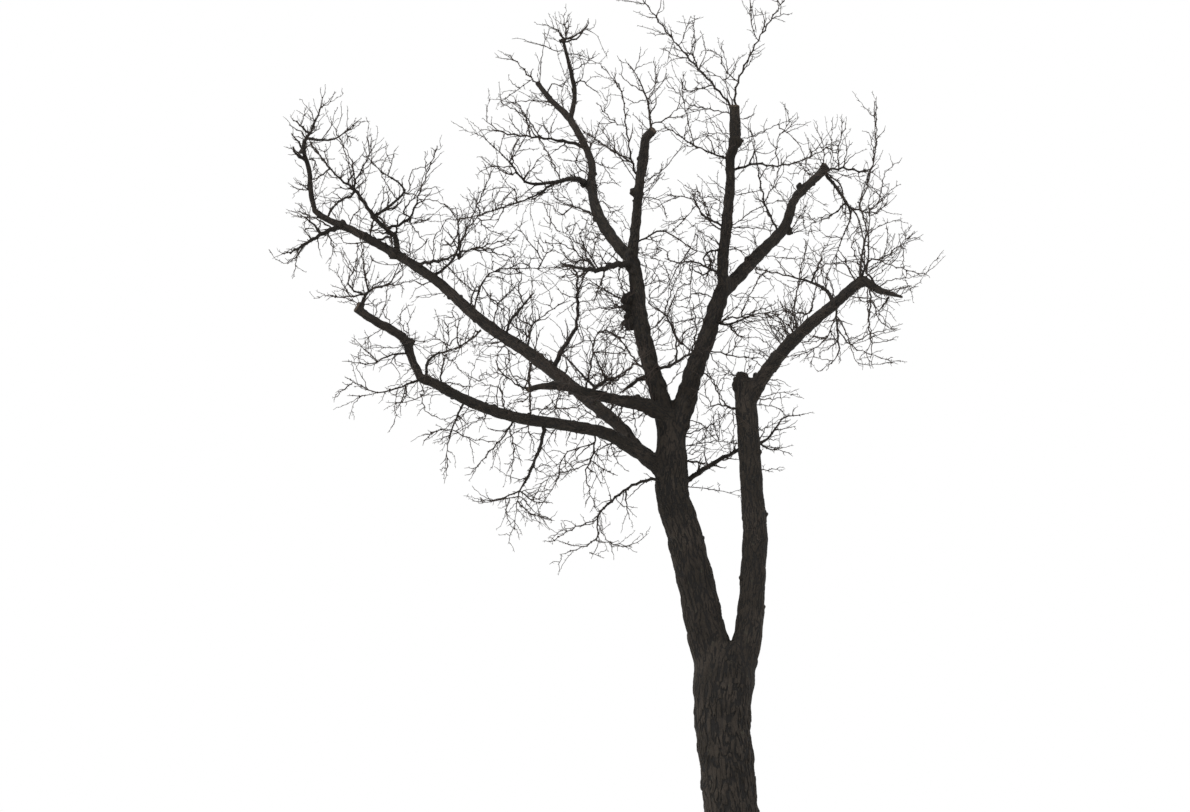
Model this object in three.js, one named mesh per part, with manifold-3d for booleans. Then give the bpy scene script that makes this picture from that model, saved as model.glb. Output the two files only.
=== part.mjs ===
// Bare winter tree, cut back in the past: a forked trunk, its boughs and the masses of twigs on them.
// Millimetres, +Z up, -Y towards the viewer; the origin is the middle of the flat cut at the ground.
import * as THREE from "three";
import { mergeVertices } from "three/addons/utils/BufferGeometryUtils.js";
import Module from "manifold-3d";

const wasm = await Module();
wasm.setup();

// Point from which the outline of the crown is seen
const EYE = { across: -1440, behind: -60000, up: 1600 };

// Gaps and cuts
const JOINT_GAP = 0.3;
const STEM_CUT_UP = 2860;
const CUT_BLOCK = 2000;
const MERGE_WITHIN = 1e-3;

// Trunk: height, lean to the side, radius to the side and radius to the back, then the root flare
const TRUNK_SIDES = 20;
const TRUNK_RINGS = [
  [0, 0, 292, 285],
  [400, -32, 281, 274],
  [900, -80, 271, 266],
  [1620, -152, 274, 262],
  [1960, -172, 286, 256],
  [2220, -150, 314, 246],
  [2340, -143, 306, 232],
  [2450, -130, 240, 205],
  [2540, -110, 165, 165],
  [2606, -88, 90, 110],
];
const FLARE = 0.42;
const FLARE_RISE = 190;
const FLARE_STATIONS = [70, 170];
const FLARE_LOBES = 5;
const FLARE_LOBE_DEPTH = 0.45;
const FLARE_TURN = 0.6;

// Shape of limbs and twigs
const LIMB_STEPS = 2;
const TWIG_SIDES = 3;
const ARM_FOOT = 0.8;
const TWIG_END_RADIUS = 4;

// Rule of the side twigs: spacing along a path, turn from one to the next in radians, spread from the
// path in radians, length as a share of the mass's reach, and radius as a share of the path's
const SEED = 7300;
const TWIG_SPACING = 215;
const SPACING_VARIES = [0.7, 1.3];
const FIRST_TWIG = 0.16;
const FIRST_TWIG_LEAST = 170;
const TWIG_TURN = 2.4;
const TURN_VARIES = 1.2;
const TWIG_SPREAD = [0.7, 1.25];
const TWIG_LENGTH = [0.45, 1];
const TWIG_FOOT = 0.62;
const TWIG_FOOT_EXTRA = 2;
const TWIG_CLEARANCE = 9;
const TWIG_ROOT_SHARE = 0.4;

// Knees and knobs of a limb: side, up, behind, radius
const LIMBS = {
  left_stem: {
    sides: 12,
    knees: [
      [-160, 2050, 0, 190],
      [-310, 2620, 0, 200],
      [-395, 3020, 0, 187],
      [-535, 3620, 0, 177],
      [-660, 4050, 0, 168],
      [-672, 4400, 0, 156],
      [-688, 4740, 0, 138],
    ],
  },
  right_stem: {
    sides: 12,
    knees: [
      [-70, 2080, 0, 140],
      [78, 2620, 0, 145],
      [125, 3080, 0, 128],
      [158, 3700, -20, 124],
      [125, 4150, -30, 112],
      [95, 4650, -30, 110],
      [68, 5010, -30, 108],
      [92, 5180, -30, 140],
      [98, 5270, -30, 90],
    ],
    knobs: [
      [225, 3850, -20, 70],
      [190, 5205, -30, 88],
      [20, 5215, -30, 82],
    ],
  },
  right_bough: {
    sides: 8,
    knees: [
      [80, 4960, -60, 78],
      [262, 5285, -180, 72],
      [562, 5640, -500, 64],
      [935, 5965, -920, 54],
      [1225, 6195, -1260, 50],
      [1400, 6125, -1400, 36],
      [1640, 6050, -1560, 12],
    ],
    knobs: [
      [1228, 6215, -1260, 56],
    ],
  },
  right_centre_bough: {
    sides: 12,
    knees: [
      [-680, 4560, 0, 125],
      [-552, 4960, 20, 108],
      [-465, 5260, 80, 97],
      [-325, 5642, 170, 87],
      [-185, 6060, 260, 82],
      [-140, 6180, 290, 80],
    ],
  },
  upright_bough: {
    sides: 8,
    knees: [
      [-150, 6090, 270, 66],
      [-160, 6410, 300, 56],
      [-122, 6775, 290, 56],
      [-85, 7180, 240, 48],
      [-85, 7430, 200, 45],
      [-38, 7640, 170, 58],
      [-42, 7975, 130, 52],
    ],
    knobs: [
      [0, 7610, 175, 52],
    ],
  },
  slanting_bough: {
    sides: 8,
    knees: [
      [-140, 6110, 300, 68],
      [140, 6420, 480, 64],
      [440, 6730, 760, 54],
      [545, 7000, 960, 43],
      [640, 7130, 1100, 46],
      [885, 7345, 1380, 38],
    ],
    knobs: [
      [505, 6705, 790, 46],
      [610, 7160, 1090, 48],
      [850, 7355, 1375, 48],
    ],
  },
  left_centre_bough: {
    sides: 12,
    knees: [
      [-690, 4580, 0, 120],
      [-760, 4940, -20, 98],
      [-880, 5360, -50, 84],
      [-985, 5780, -40, 86],
      [-1025, 6200, 0, 72],
      [-1078, 6450, 30, 72],
    ],
    knobs: [
      [-1105, 6025, -20, 76],
      [-1095, 5790, -40, 74],
    ],
  },
  outer_limb: {
    sides: 8,
    knees: [
      [-1060, 6410, 30, 64],
      [-1230, 6600, 130, 60],
      [-1400, 6860, 340, 57],
      [-1475, 7160, 600, 46],
      [-1485, 7440, 820, 37],
      [-1690, 7835, 1140, 36],
      [-1880, 8030, 1340, 28],
      [-2018, 8205, 1480, 25],
    ],
  },
  outer_limb_top: {
    sides: 6,
    knees: [
      [-1690, 7820, 1140, 27],
      [-1645, 8075, 1120, 25],
      [-1675, 8290, 1060, 22],
      [-1765, 8650, 980, 16],
    ],
  },
  inner_limb: {
    sides: 8,
    knees: [
      [-1075, 6400, 20, 58],
      [-1030, 6790, -150, 49],
      [-1005, 7100, -350, 45],
      [-960, 7420, -550, 52],
      [-930, 7640, -680, 46],
      [-850, 7735, -750, 40],
    ],
    knobs: [
      [-1050, 7110, -350, 44],
    ],
  },
  long_bough: {
    sides: 8,
    knees: [
      [-700, 4270, 0, 84],
      [-1035, 4530, 60, 74],
      [-1260, 4790, 180, 64],
      [-2050, 5450, 650, 59],
      [-2560, 5800, 940, 54],
      [-3080, 6255, 1200, 49],
      [-3720, 6645, 1470, 44],
      [-4110, 6828, 1570, 34],
      [-4262, 6925, 1595, 31],
    ],
  },
  long_bough_tip: {
    sides: 6,
    knees: [
      [-4245, 6900, 1590, 28],
      [-4292, 7130, 1610, 27],
      [-4303, 7320, 1600, 26],
      [-4370, 7540, 1560, 20],
    ],
  },
  low_bough: {
    sides: 8,
    knees: [
      [-760, 4310, -20, 80],
      [-1100, 4580, -130, 70],
      [-1440, 4715, -400, 60],
      [-2280, 4858, -1040, 54],
      [-2760, 5035, -1350, 50],
      [-3020, 5175, -1500, 48],
      [-3195, 5245, -1600, 46],
    ],
  },
  low_bough_end: {
    sides: 8,
    knees: [
      [-3185, 5235, -1595, 42],
      [-3280, 5455, -1690, 40],
      [-3325, 5600, -1750, 48],
      [-3440, 5700, -1820, 43],
      [-3640, 5812, -1920, 42],
      [-3835, 5942, -2000, 38],
    ],
    knobs: [
      [-3290, 5600, -1750, 48],
      [-3778, 5972, -1985, 40],
    ],
  },
  front_bough: {
    sides: 8,
    knees: [
      [-690, 4830, -40, 50],
      [-945, 4970, -200, 45],
      [-1240, 5030, -430, 40],
      [-1740, 5165, -830, 29],
      [-1980, 5155, -980, 27],
      [-2110, 5122, -1050, 22],
    ],
  },
};

// Masses of twigs: radius at the foot of the stem, reach and lift of the side twigs, knees of the stem
// (side, up, behind), whose first lies inside the limb that carries it, and its arms, each of them the
// share of the stem where it leaves and then its knees
const MASSES = {
  tip_twigs: {
    foot: 17,
    reach: 330,
    lift: 0.3,
    stem: [[-4366, 7525, 1562], [-4330, 7660, 1540], [-4230, 7840, 1480], [-4150, 8110, 1400]],
    arms: [
      [0.2, [-4060, 7640, 1430], [-3780, 7850, 1300]],
      [0.3, [-4400, 7780, 1640], [-4490, 7860, 1780]],
    ],
  },
  edge_twigs: {
    foot: 26,
    reach: 300,
    lift: 0.3,
    stem: [[-3990, 6770, 1530], [-4190, 6680, 1380], [-4440, 6525, 1200], [-4580, 6490, 980]],
    arms: [
      [0.55, [-4430, 6460, 1350], [-4560, 6380, 1500]],
      [0.3, [-4280, 6800, 1340], [-4420, 6900, 1250]],
    ],
  },
  fork_twigs: {
    foot: 40,
    reach: 330,
    lift: 0.35,
    stem: [[-3445, 6470, 1360], [-3440, 6650, 1320], [-3640, 6835, 1180], [-3840, 7115, 1000],
      [-4060, 7300, 880], [-4300, 7620, 760]],
    arms: [
      [0.2, [-3300, 6850, 1260], [-3190, 7120, 1190], [-3020, 7570, 1150]],
      [0.32, [-3350, 7120, 1150], [-3590, 7320, 1050], [-3740, 7480, 1000]],
      [0.62, [-3860, 7360, 960], [-4050, 7740, 900]],
      [0.58, [-3760, 7370, 1120], [-3650, 7580, 1150]],
    ],
  },
  left_mid_twigs: {
    foot: 15,
    reach: 260,
    lift: 0.15,
    stem: [[-3240, 6380, 1260], [-2960, 6425, 1010], [-2670, 6525, 850], [-2240, 6450, 640]],
    arms: [[0.6, [-2460, 6590, 720], [-2210, 6670, 560]]],
  },
  left_high_twigs: {
    foot: 18,
    reach: 300,
    lift: 0.3,
    stem: [[-3050, 6260, 1200], [-2880, 6410, 1200], [-2805, 6600, 1190], [-2830, 6950, 1170]],
    arms: [
      [0.5, [-2650, 6820, 1090], [-2450, 6925, 980], [-2190, 7015, 880]],
      [0.45, [-2610, 7000, 1200], [-2450, 7360, 1250]],
    ],
  },
  left_inner_twigs: {
    foot: 15,
    reach: 280,
    lift: 0.2,
    stem: [[-2650, 5890, 990], [-2590, 6160, 1000], [-2430, 6320, 930], [-2040, 6340, 760],
      [-1790, 6350, 660]],
    arms: [[0.25, [-2470, 6010, 1050], [-2310, 5900, 1150]]],
  },
  middle_twigs: {
    foot: 17,
    reach: 280,
    lift: 0.3,
    stem: [[-2110, 5500, 690], [-2075, 5760, 640], [-1980, 5845, 590], [-1710, 6040, 470]],
    arms: [
      [0.35, [-2230, 5880, 740], [-2050, 6090, 820]],
    ],
  },
  rising_twigs: {
    foot: 17,
    reach: 290,
    lift: 0.3,
    stem: [[-1870, 5300, 545], [-1760, 5550, 520], [-1625, 5770, 470], [-1620, 6300, 380]],
    arms: [[0.8, [-1540, 6280, 300], [-1480, 6420, 220]]],
  },
  inner_twigs: {
    foot: 16,
    reach: 300,
    lift: 0.3,
    stem: [[-1550, 5030, 350], [-1490, 5340, 330], [-1410, 5690, 300], [-1170, 5640, 250]],
    arms: [[0.5, [-1300, 5560, 420], [-1130, 5800, 560]]],
  },
  front_twigs: {
    foot: 16,
    reach: 300,
    lift: 0.3,
    stem: [[-1490, 5100, -640], [-1340, 5210, -680], [-1180, 5260, -740], [-950, 5490, -800]],
    arms: [
      [0.3, [-1420, 5420, -760], [-1500, 5700, -850]],
      [0.1, [-1620, 5330, -700], [-1760, 5480, -900]],
    ],
  },
  front_end_twigs: {
    foot: 17,
    reach: 300,
    lift: 0.25,
    stem: [[-2100, 5124, -1045], [-2230, 5180, -1180], [-2380, 5300, -1320], [-2440, 5420, -1480]],
    arms: [[0.1, [-2090, 5300, -1100], [-2090, 5440, -1120]]],
  },
  low_tip_twigs: {
    foot: 20,
    reach: 330,
    lift: 0.4,
    stem: [[-3785, 5955, -1980], [-3700, 6120, -1930], [-3490, 6200, -1820], [-3390, 6420, -1760]],
    arms: [
      [0.25, [-3750, 6320, -1990], [-3785, 6580, -2050]],
      [0.18, [-3910, 6180, -2100], [-3800, 6400, -2250]],
      [0.2, [-3990, 6050, -2060], [-4110, 6080, -2200]],
    ],
  },
  low_left_twigs: {
    foot: 17,
    reach: 300,
    lift: 0.1,
    stem: [[-3295, 5490, -1700], [-3490, 5470, -1850], [-3680, 5380, -1950], [-3960, 5410, -2100]],
    arms: [[0.5, [-3760, 5540, -1880], [-3880, 5620, -1800]]],
  },
  low_under_twigs: {
    foot: 17,
    reach: 300,
    lift: 0.05,
    stem: [[-3175, 5235, -1590], [-3390, 5150, -1600], [-3640, 5100, -1650], [-3940, 5250, -1760]],
    arms: [
      [0.55, [-3760, 5060, -1600], [-3920, 5070, -1560]],
      [0.2, [-3330, 5040, -1720], [-3460, 4960, -1850]],
    ],
  },
  low_middle_twigs: {
    foot: 17,
    reach: 290,
    lift: 0.25,
    stem: [[-3130, 5215, -1565], [-3090, 5440, -1500], [-2820, 5540, -1380], [-2580, 5710, -1300]],
    arms: [[0.5, [-2900, 5700, -1480], [-2960, 5860, -1560]]],
  },
  hanging_near_twigs: {
    foot: 26,
    reach: 330,
    lift: -0.05,
    stem: [[-760, 4240, -60], [-1060, 4170, -260], [-1390, 3890, -560], [-1440, 3620, -680],
      [-1790, 3470, -850]],
    arms: [
      [0.6, [-1640, 3740, -720], [-1890, 3600, -960]],
      [0.74, [-1290, 3590, -620], [-1070, 3550, -520]],
    ],
  },
  hanging_middle_twigs: {
    foot: 19,
    reach: 320,
    lift: -0.05,
    stem: [[-1960, 4800, -800], [-1965, 4620, -830], [-2120, 4220, -980], [-2200, 4080, -1020],
      [-2250, 3720, -1080]],
    arms: [
      [0.66, [-2430, 4020, -1120], [-2660, 4010, -1220]],
      [0.66, [-2060, 4010, -960], [-1890, 3990, -860]],
      [0.75, [-2100, 3900, -1080], [-1860, 3820, -1180]],
    ],
  },
  hanging_left_twigs: {
    foot: 17,
    reach: 300,
    lift: -0.05,
    stem: [[-2240, 4850, -1010], [-2340, 4670, -1060], [-2490, 4510, -1130], [-2690, 4280, -1240]],
    arms: [[0.15, [-2250, 4520, -1130], [-2290, 4200, -1260]]],
  },
  hanging_end_twigs: {
    foot: 17,
    reach: 300,
    lift: -0.05,
    stem: [[-2740, 5025, -1340], [-2850, 4780, -1380], [-2910, 4570, -1430], [-2940, 4330, -1480]],
    arms: [
      [0.45, [-3060, 4700, -1500], [-3170, 4570, -1600]],
      [0.45, [-2700, 4640, -1320], [-2440, 4600, -1360]],
    ],
  },
  hanging_close_twigs: {
    foot: 17,
    reach: 300,
    lift: -0.05,
    stem: [[-1440, 4710, -400], [-1450, 4500, -400], [-1530, 4270, -380], [-1420, 3900, -300]],
    arms: [
      [0.4, [-1740, 4300, -330], [-1980, 4230, -280]],
      [0.35, [-1340, 4320, -300], [-1210, 4260, -220]],
      [0.15, [-1740, 4480, -560], [-1830, 4200, -640], [-2040, 3870, -700]],
    ],
  },
  right_low_twigs: {
    foot: 30,
    reach: 290,
    lift: 0.2,
    stem: [[-600, 4160, 40], [-300, 4360, 190], [10, 4530, 270], [270, 4620, 280],
      [450, 4840, 330], [660, 4870, 380]],
    arms: [[0.62, [330, 4520, 420], [420, 4560, 560]]],
  },
  centre_twigs: {
    foot: 18,
    reach: 300,
    lift: 0.3,
    stem: [[-870, 5330, -60], [-670, 5370, -200], [-400, 5520, -300], [-40, 5460, -330],
      [240, 5440, -420]],
    arms: [
      [0.25, [-640, 5690, -380], [-720, 5920, -520]],
      [0.4, [-430, 5760, -480], [-470, 6020, -640]],
    ],
  },
  curled_twigs: {
    foot: 17,
    reach: 290,
    lift: 0.1,
    stem: [[-250, 5830, 220], [-100, 5775, 160], [130, 5870, 60], [490, 5925, -60]],
    arms: [
      [0.7, [330, 5720, -120], [440, 5560, -180]],
      [0.8, [480, 5780, 80], [560, 5700, 240]],
    ],
  },
  upright_left_twigs: {
    foot: 18,
    reach: 300,
    lift: 0.2,
    stem: [[-140, 6760, 290], [-350, 6870, 220], [-460, 7030, 160], [-740, 7080, 60]],
    arms: [
      [0.5, [-560, 6820, 60], [-680, 6700, -60]],
      [0.2, [-330, 6960, 600], [-420, 7140, 1000]],
    ],
  },
  high_left_twigs: {
    foot: 16,
    reach: 300,
    lift: 0.25,
    stem: [[-90, 7430, 200], [-390, 7550, 60], [-590, 7670, -60], [-750, 7780, -180]],
    arms: [[0.5, [-500, 7780, 100], [-560, 8060, 180]]],
  },
  upright_right_twigs: {
    foot: 20,
    reach: 320,
    lift: 0.25,
    stem: [[-80, 7320, 220], [180, 7395, 160], [380, 7365, 60], [690, 7450, -80], [1020, 7640, -240]],
    arms: [
      [0.42, [380, 7600, 0], [530, 7830, -120]],
      [0.6, [660, 7330, -200], [740, 7260, -420]],
    ],
  },
  top_left_twigs: {
    foot: 18,
    reach: 320,
    lift: 0.25,
    stem: [[-62, 7950, 132], [-240, 8170, 100], [-640, 8620, 20], [-940, 9020, -60], [-1010, 9130, -90]],
    arms: [
      [0.35, [-470, 8560, -60], [-440, 8740, -160]],
      [0.2, [-520, 8120, -60], [-580, 8260, -160]],
    ],
  },
  top_twigs: {
    foot: 18,
    reach: 330,
    lift: 0.25,
    stem: [[-25, 7950, 132], [-20, 8180, 150], [190, 8620, 220], [440, 9020, 320], [500, 9130, 360]],
    arms: [
      [0.55, [130, 8800, 160], [115, 9140, 100]],
      [0.2, [-130, 8330, 260], [-190, 8500, 380]],
    ],
  },
  slant_twigs: {
    foot: 18,
    reach: 320,
    lift: 0.25,
    stem: [[400, 6690, 720], [265, 6990, 740], [185, 7400, 690], [110, 7800, 640]],
    arms: [[0.3, [360, 7200, 800], [450, 7480, 860]]],
  },
  slant_end_twigs: {
    foot: 19,
    reach: 330,
    lift: 0.3,
    stem: [[870, 7332, 1362], [1070, 7345, 1470], [1300, 7330, 1560], [1375, 7600, 1620],
      [1380, 8070, 1720]],
    arms: [
      [0.4, [1250, 7120, 1620], [1200, 7000, 1720]],
      [0.12, [1000, 7560, 1500], [1080, 7800, 1560]],
    ],
  },
  slant_low_twigs: {
    foot: 20,
    reach: 320,
    lift: 0.05,
    stem: [[850, 7315, 1340], [1040, 7060, 1290], [1120, 6870, 1240], [1060, 6700, 1180],
      [860, 6190, 1080]],
    arms: [
      [0.3, [910, 6860, 1380], [730, 6790, 1500]],
      [0.25, [1210, 6800, 1160], [1260, 6400, 1060], [1200, 6120, 1000]],
      [0.35, [1370, 6900, 1160], [1500, 7020, 1080]],
    ],
  },
  right_high_twigs: {
    foot: 18,
    reach: 300,
    lift: 0.2,
    stem: [[950, 5985, -935], [850, 6140, -880], [560, 6250, -800], [150, 6340, -700]],
    arms: [[0.35, [800, 6380, -740], [860, 6600, -680]]],
  },
  right_hanging_twigs: {
    foot: 18,
    reach: 300,
    lift: 0,
    stem: [[965, 5990, -955], [990, 5670, -1020], [985, 5450, -1060], [780, 5300, -1160]],
    arms: [
      [0.3, [1130, 5560, -1100], [1540, 5400, -1220]],
      [0.15, [840, 5600, -860], [520, 5420, -760]],
    ],
  },
  right_end_twigs: {
    foot: 19,
    reach: 330,
    lift: 0.3,
    stem: [[1220, 6190, -1250], [1290, 6410, -1300], [1460, 6455, -1340], [1760, 6700, -1420]],
    arms: [
      [0.4, [1650, 6330, -1480], [1910, 6270, -1600]],
      [0.15, [1180, 6430, -1480], [1120, 6600, -1660]],
    ],
  },
  outer_end_twigs: {
    foot: 17,
    reach: 300,
    lift: 0.2,
    stem: [[-2005, 8190, 1468], [-2110, 8285, 1600], [-2230, 8420, 1700], [-2330, 8500, 1820]],
    arms: [[0.2, [-2200, 8150, 1500], [-2390, 8020, 1480]]],
  },
  outer_top_twigs: {
    foot: 14,
    reach: 280,
    lift: 0.25,
    stem: [[-1762, 8635, 982], [-1690, 8660, 960], [-1580, 8720, 900], [-1500, 8810, 840]],
    arms: [
      [0.05, [-1830, 8750, 960], [-1900, 8765, 920]],
      [0.1, [-1740, 8800, 1060], [-1770, 8900, 1120]],
    ],
  },
  outer_side_twigs: {
    foot: 17,
    reach: 300,
    lift: 0.25,
    stem: [[-1560, 7570, 930], [-1860, 7640, 900], [-2340, 7700, 800], [-2570, 7850, 740]],
    arms: [[0.5, [-2140, 7880, 960], [-2260, 8060, 1060]]],
  },
  side_twigs: {
    foot: 32,
    reach: 300,
    lift: 0.25,
    stem: [[-1470, 7160, 600], [-1620, 7238, 560], [-1900, 7202, 420], [-2130, 7205, 300],
      [-2290, 7400, 200], [-2570, 7670, 0]],
    arms: [
      [0.3, [-2060, 7060, 250], [-2440, 6930, 60], [-2790, 6820, -140]],
      [0.72, [-2190, 7560, 320], [-2100, 7760, 420]],
    ],
  },
  inner_head_twigs: {
    foot: 18,
    reach: 320,
    lift: 0.3,
    stem: [[-870, 7710, -735], [-915, 8020, -790], [-990, 8220, -820], [-1140, 8440, -860]],
    arms: [
      [0.5, [-840, 8180, -900], [-800, 8330, -1020]],
      [0.1, [-720, 7850, -860], [-560, 7990, -980]],
    ],
  },
  inner_side_twigs: {
    foot: 17,
    reach: 320,
    lift: 0.25,
    stem: [[-995, 7190, -400], [-1075, 7440, -440], [-1130, 7780, -460], [-1180, 8120, -480],
      [-1400, 8410, -500]],
    arms: [
      [0.2, [-1300, 7540, -520], [-1540, 7710, -640]],
      [0.45, [-1270, 7830, -300], [-1420, 8010, -160]],
    ],
  },
  short_side_twigs: {
    foot: 29,
    reach: 320,
    lift: 0.15,
    stem: [[-1050, 6390, 10], [-1230, 6375, -130], [-1450, 6320, -320], [-1790, 6390, -520]],
    arms: [
      [0.5, [-1540, 6540, -480], [-1600, 6700, -640]],
      [0.4, [-1400, 6150, -420], [-1460, 5980, -560]],
    ],
  },
};

// A point at its place: the outline is kept as seen from the eye, whatever its depth.
function seen([across, up, behind]) {
  const scale = 1 - behind / EYE.behind;
  return new THREE.Vector3(
    EYE.across + (across - EYE.across) * scale,
    behind,
    EYE.up + (up - EYE.up) * scale,
  );
}

// Repeatable random numbers from 0 to 1.
function seeded(seed) {
  let state = seed >>> 0;
  return () => {
    state = (state + 0x6d2b79f5) >>> 0;
    let mixed = state;
    mixed = Math.imul(mixed ^ (mixed >>> 15), mixed | 1);
    mixed ^= mixed + Math.imul(mixed ^ (mixed >>> 7), mixed | 61);
    return ((mixed ^ (mixed >>> 14)) >>> 0) / 4294967296;
  };
}

const mix = (from, to, share) => from + (to - from) * share;

// A smooth path through knees: points with a radius each, a given number of steps from knee to knee.
function smoothPath(knees, radii, steps) {
  const curve = new THREE.CatmullRomCurve3(knees, false, "catmullrom", 0.5);
  const spans = (knees.length - 1) * steps;
  return Array.from({ length: spans + 1 }, (_, i) => {
    const at = i / steps;
    const knee = Math.min(Math.floor(at), knees.length - 2);
    return {
      point: curve.getPoint(i / spans),
      radius: mix(radii[knee], radii[knee + 1], at - knee),
    };
  });
}

// Length of a path up to each of its points.
function lengthsOf(path) {
  const lengths = [0];
  for (let i = 1; i < path.length; i++) {
    lengths.push(lengths[i - 1] + path[i].point.distanceTo(path[i - 1].point));
  }
  return lengths;
}

// The place at a share of a path's length: point, radius and direction.
function placeAt(path, share) {
  const lengths = lengthsOf(path);
  const wanted = share * lengths[lengths.length - 1];
  let i = 1;
  while (i < path.length - 1 && lengths[i] < wanted) i++;
  const part = (wanted - lengths[i - 1]) / (lengths[i] - lengths[i - 1]);
  const [from, to] = [path[i - 1], path[i]];
  return {
    point: from.point.clone().lerp(to.point, part),
    radius: mix(from.radius, to.radius, part),
    direction: to.point.clone().sub(from.point).normalize(),
  };
}

// A direction square to another.
function acrossFrom(direction) {
  const helper = Math.abs(direction.z) < 0.8 ? new THREE.Vector3(0, 0, 1) : new THREE.Vector3(1, 0, 0);
  return helper.cross(direction).normalize();
}

// A solid from closed rings of corners, lowest first, each ring the same count, turning left.
function solidOfRings(rings) {
  const corners = [];
  const faces = [];
  const starts = rings.map((ring) => {
    const start = corners.length / 3;
    ring.forEach((corner) => corners.push(corner.x, corner.y, corner.z));
    return start;
  });
  for (let r = 0; r < rings.length - 1; r++) {
    const [low, high] = [starts[r], starts[r + 1]];
    const [lowCount, highCount] = [rings[r].length, rings[r + 1].length];
    for (let s = 0; s < lowCount; s++) {
      const next = (s + 1) % lowCount;
      if (highCount === 1) {
        faces.push(low + s, low + next, high);
      } else {
        faces.push(low + s, low + next, high + next, low + s, high + next, high + s);
      }
    }
  }
  for (let s = 1; s < rings[0].length - 1; s++) {
    faces.push(starts[0], starts[0] + s + 1, starts[0] + s);
  }
  const [last, lastCount] = [starts[rings.length - 1], rings[rings.length - 1].length];
  for (let s = 1; s < lastCount - 1; s++) {
    faces.push(last, last + s, last + s + 1);
  }
  const geometry = new THREE.BufferGeometry();
  geometry.setAttribute("position", new THREE.Float32BufferAttribute(corners, 3));
  geometry.setIndex(faces);
  return manifoldOf(geometry);
}

function manifoldOf(geometry) {
  geometry.deleteAttribute("normal");
  geometry.deleteAttribute("uv");
  const merged = mergeVertices(geometry, MERGE_WITHIN);
  return new wasm.Manifold(
    new wasm.Mesh({
      numProp: 3,
      vertProperties: merged.attributes.position.array,
      triVerts: new Uint32Array(merged.index.array),
    }),
  );
}

// A limb or twig along a path, grown by a margin all over; a pointed one ends in a single corner.
function tube(path, sides, margin = 0, pointed = false) {
  const count = path.length;
  const directions = path.map((_, i) => {
    const from = path[Math.max(i - 1, 0)].point;
    const to = path[Math.min(i + 1, count - 1)].point;
    return to.clone().sub(from).normalize();
  });
  let side = acrossFrom(directions[0]);
  const rings = path.map(({ point, radius }, i) => {
    side = side.clone().addScaledVector(directions[i], -side.dot(directions[i])).normalize();
    const other = directions[i].clone().cross(side);
    const centre = point.clone();
    if (i === 0) centre.addScaledVector(directions[i], -margin);
    if (i === count - 1) centre.addScaledVector(directions[i], margin);
    if (pointed && i === count - 1) return [centre];
    return Array.from({ length: sides }, (_, s) => {
      const angle = (2 * Math.PI * s) / sides;
      return centre
        .clone()
        .addScaledVector(side, (radius + margin) * Math.cos(angle))
        .addScaledVector(other, (radius + margin) * Math.sin(angle));
    });
  });
  return solidOfRings(rings);
}

// A block that reaches well past the stems, above or below a height.
function blockBeyond(height, upwards) {
  const block = new THREE.BoxGeometry(CUT_BLOCK, CUT_BLOCK, CUT_BLOCK * 2);
  block.translate(0, 0, height + (upwards ? CUT_BLOCK : -CUT_BLOCK));
  return manifoldOf(block);
}

// The trunk below its fork: level rings, spread into root lobes at the ground.
function trunkColumn() {
  const [foot, above] = TRUNK_RINGS;
  const flared = FLARE_STATIONS.map((height) =>
    foot.map((value, i) => mix(value, above[i], height / above[0])),
  );
  const rings = [foot, ...flared, ...TRUNK_RINGS.slice(1)].map(([height, side, wide, deep]) => {
    const spread = FLARE * Math.exp(-height / FLARE_RISE);
    return Array.from({ length: TRUNK_SIDES }, (_, s) => {
      const angle = (2 * Math.PI * s) / TRUNK_SIDES;
      const reach = 1 + spread * (1 + FLARE_LOBE_DEPTH * Math.cos(FLARE_LOBES * angle + FLARE_TURN));
      return new THREE.Vector3(
        side + wide * reach * Math.cos(angle),
        deep * reach * Math.sin(angle),
        height,
      );
    });
  });
  return solidOfRings(rings);
}

// A limb with its knobs, grown by a margin all over.
function limbSolid(name, margin = 0) {
  const { sides, knobs = [] } = LIMBS[name];
  return knobs.reduce((sum, [across, up, behind, radius]) => {
    const knob = new THREE.IcosahedronGeometry(radius + margin, 0);
    const place = seen([across, up, behind]);
    knob.translate(place.x, place.y, place.z);
    return sum.add(manifoldOf(knob));
  }, tube(limbPaths[name], sides, margin));
}

// The largest body of a solid, without loose scraps.
function mainBody(solid) {
  const bodies = solid.decompose();
  return bodies.reduce((best, body) => (body.volume() > best.volume() ? body : best));
}

const boxesMeet = (a, b) =>
  [0, 1, 2].every((axis) => a.min[axis] < b.max[axis] && b.min[axis] < a.max[axis]);

// Shortest distance between two straight pieces, of which the first may be a single point.
function pieceDistance(a, b) {
  const along = a.to.clone().sub(a.from);
  const beside = b.to.clone().sub(b.from);
  const offset = a.from.clone().sub(b.from);
  const [aa, bb, ab] = [along.dot(along), beside.dot(beside), along.dot(beside)];
  const [ao, bo] = [along.dot(offset), beside.dot(offset)];
  const shareOf = (over, under) => (under > 0 ? Math.min(Math.max(over / under, 0), 1) : 0);
  const first = shareOf(ab * bo - ao * bb, aa * bb - ab * ab);
  const t = shareOf(ab * first + bo, bb);
  const s = shareOf(ab * t - ao, aa);
  return offset.addScaledVector(along, s).addScaledVector(beside, -t).length();
}

const piecesOf = (path) =>
  path.slice(1).map((place, i) => ({
    from: path[i].point,
    to: place.point,
    radius: Math.max(path[i].radius, place.radius),
  }));

const distanceTo = (point, pieces) =>
  Math.min(...pieces.map((piece) => pieceDistance({ from: point, to: point }, piece)));

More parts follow.
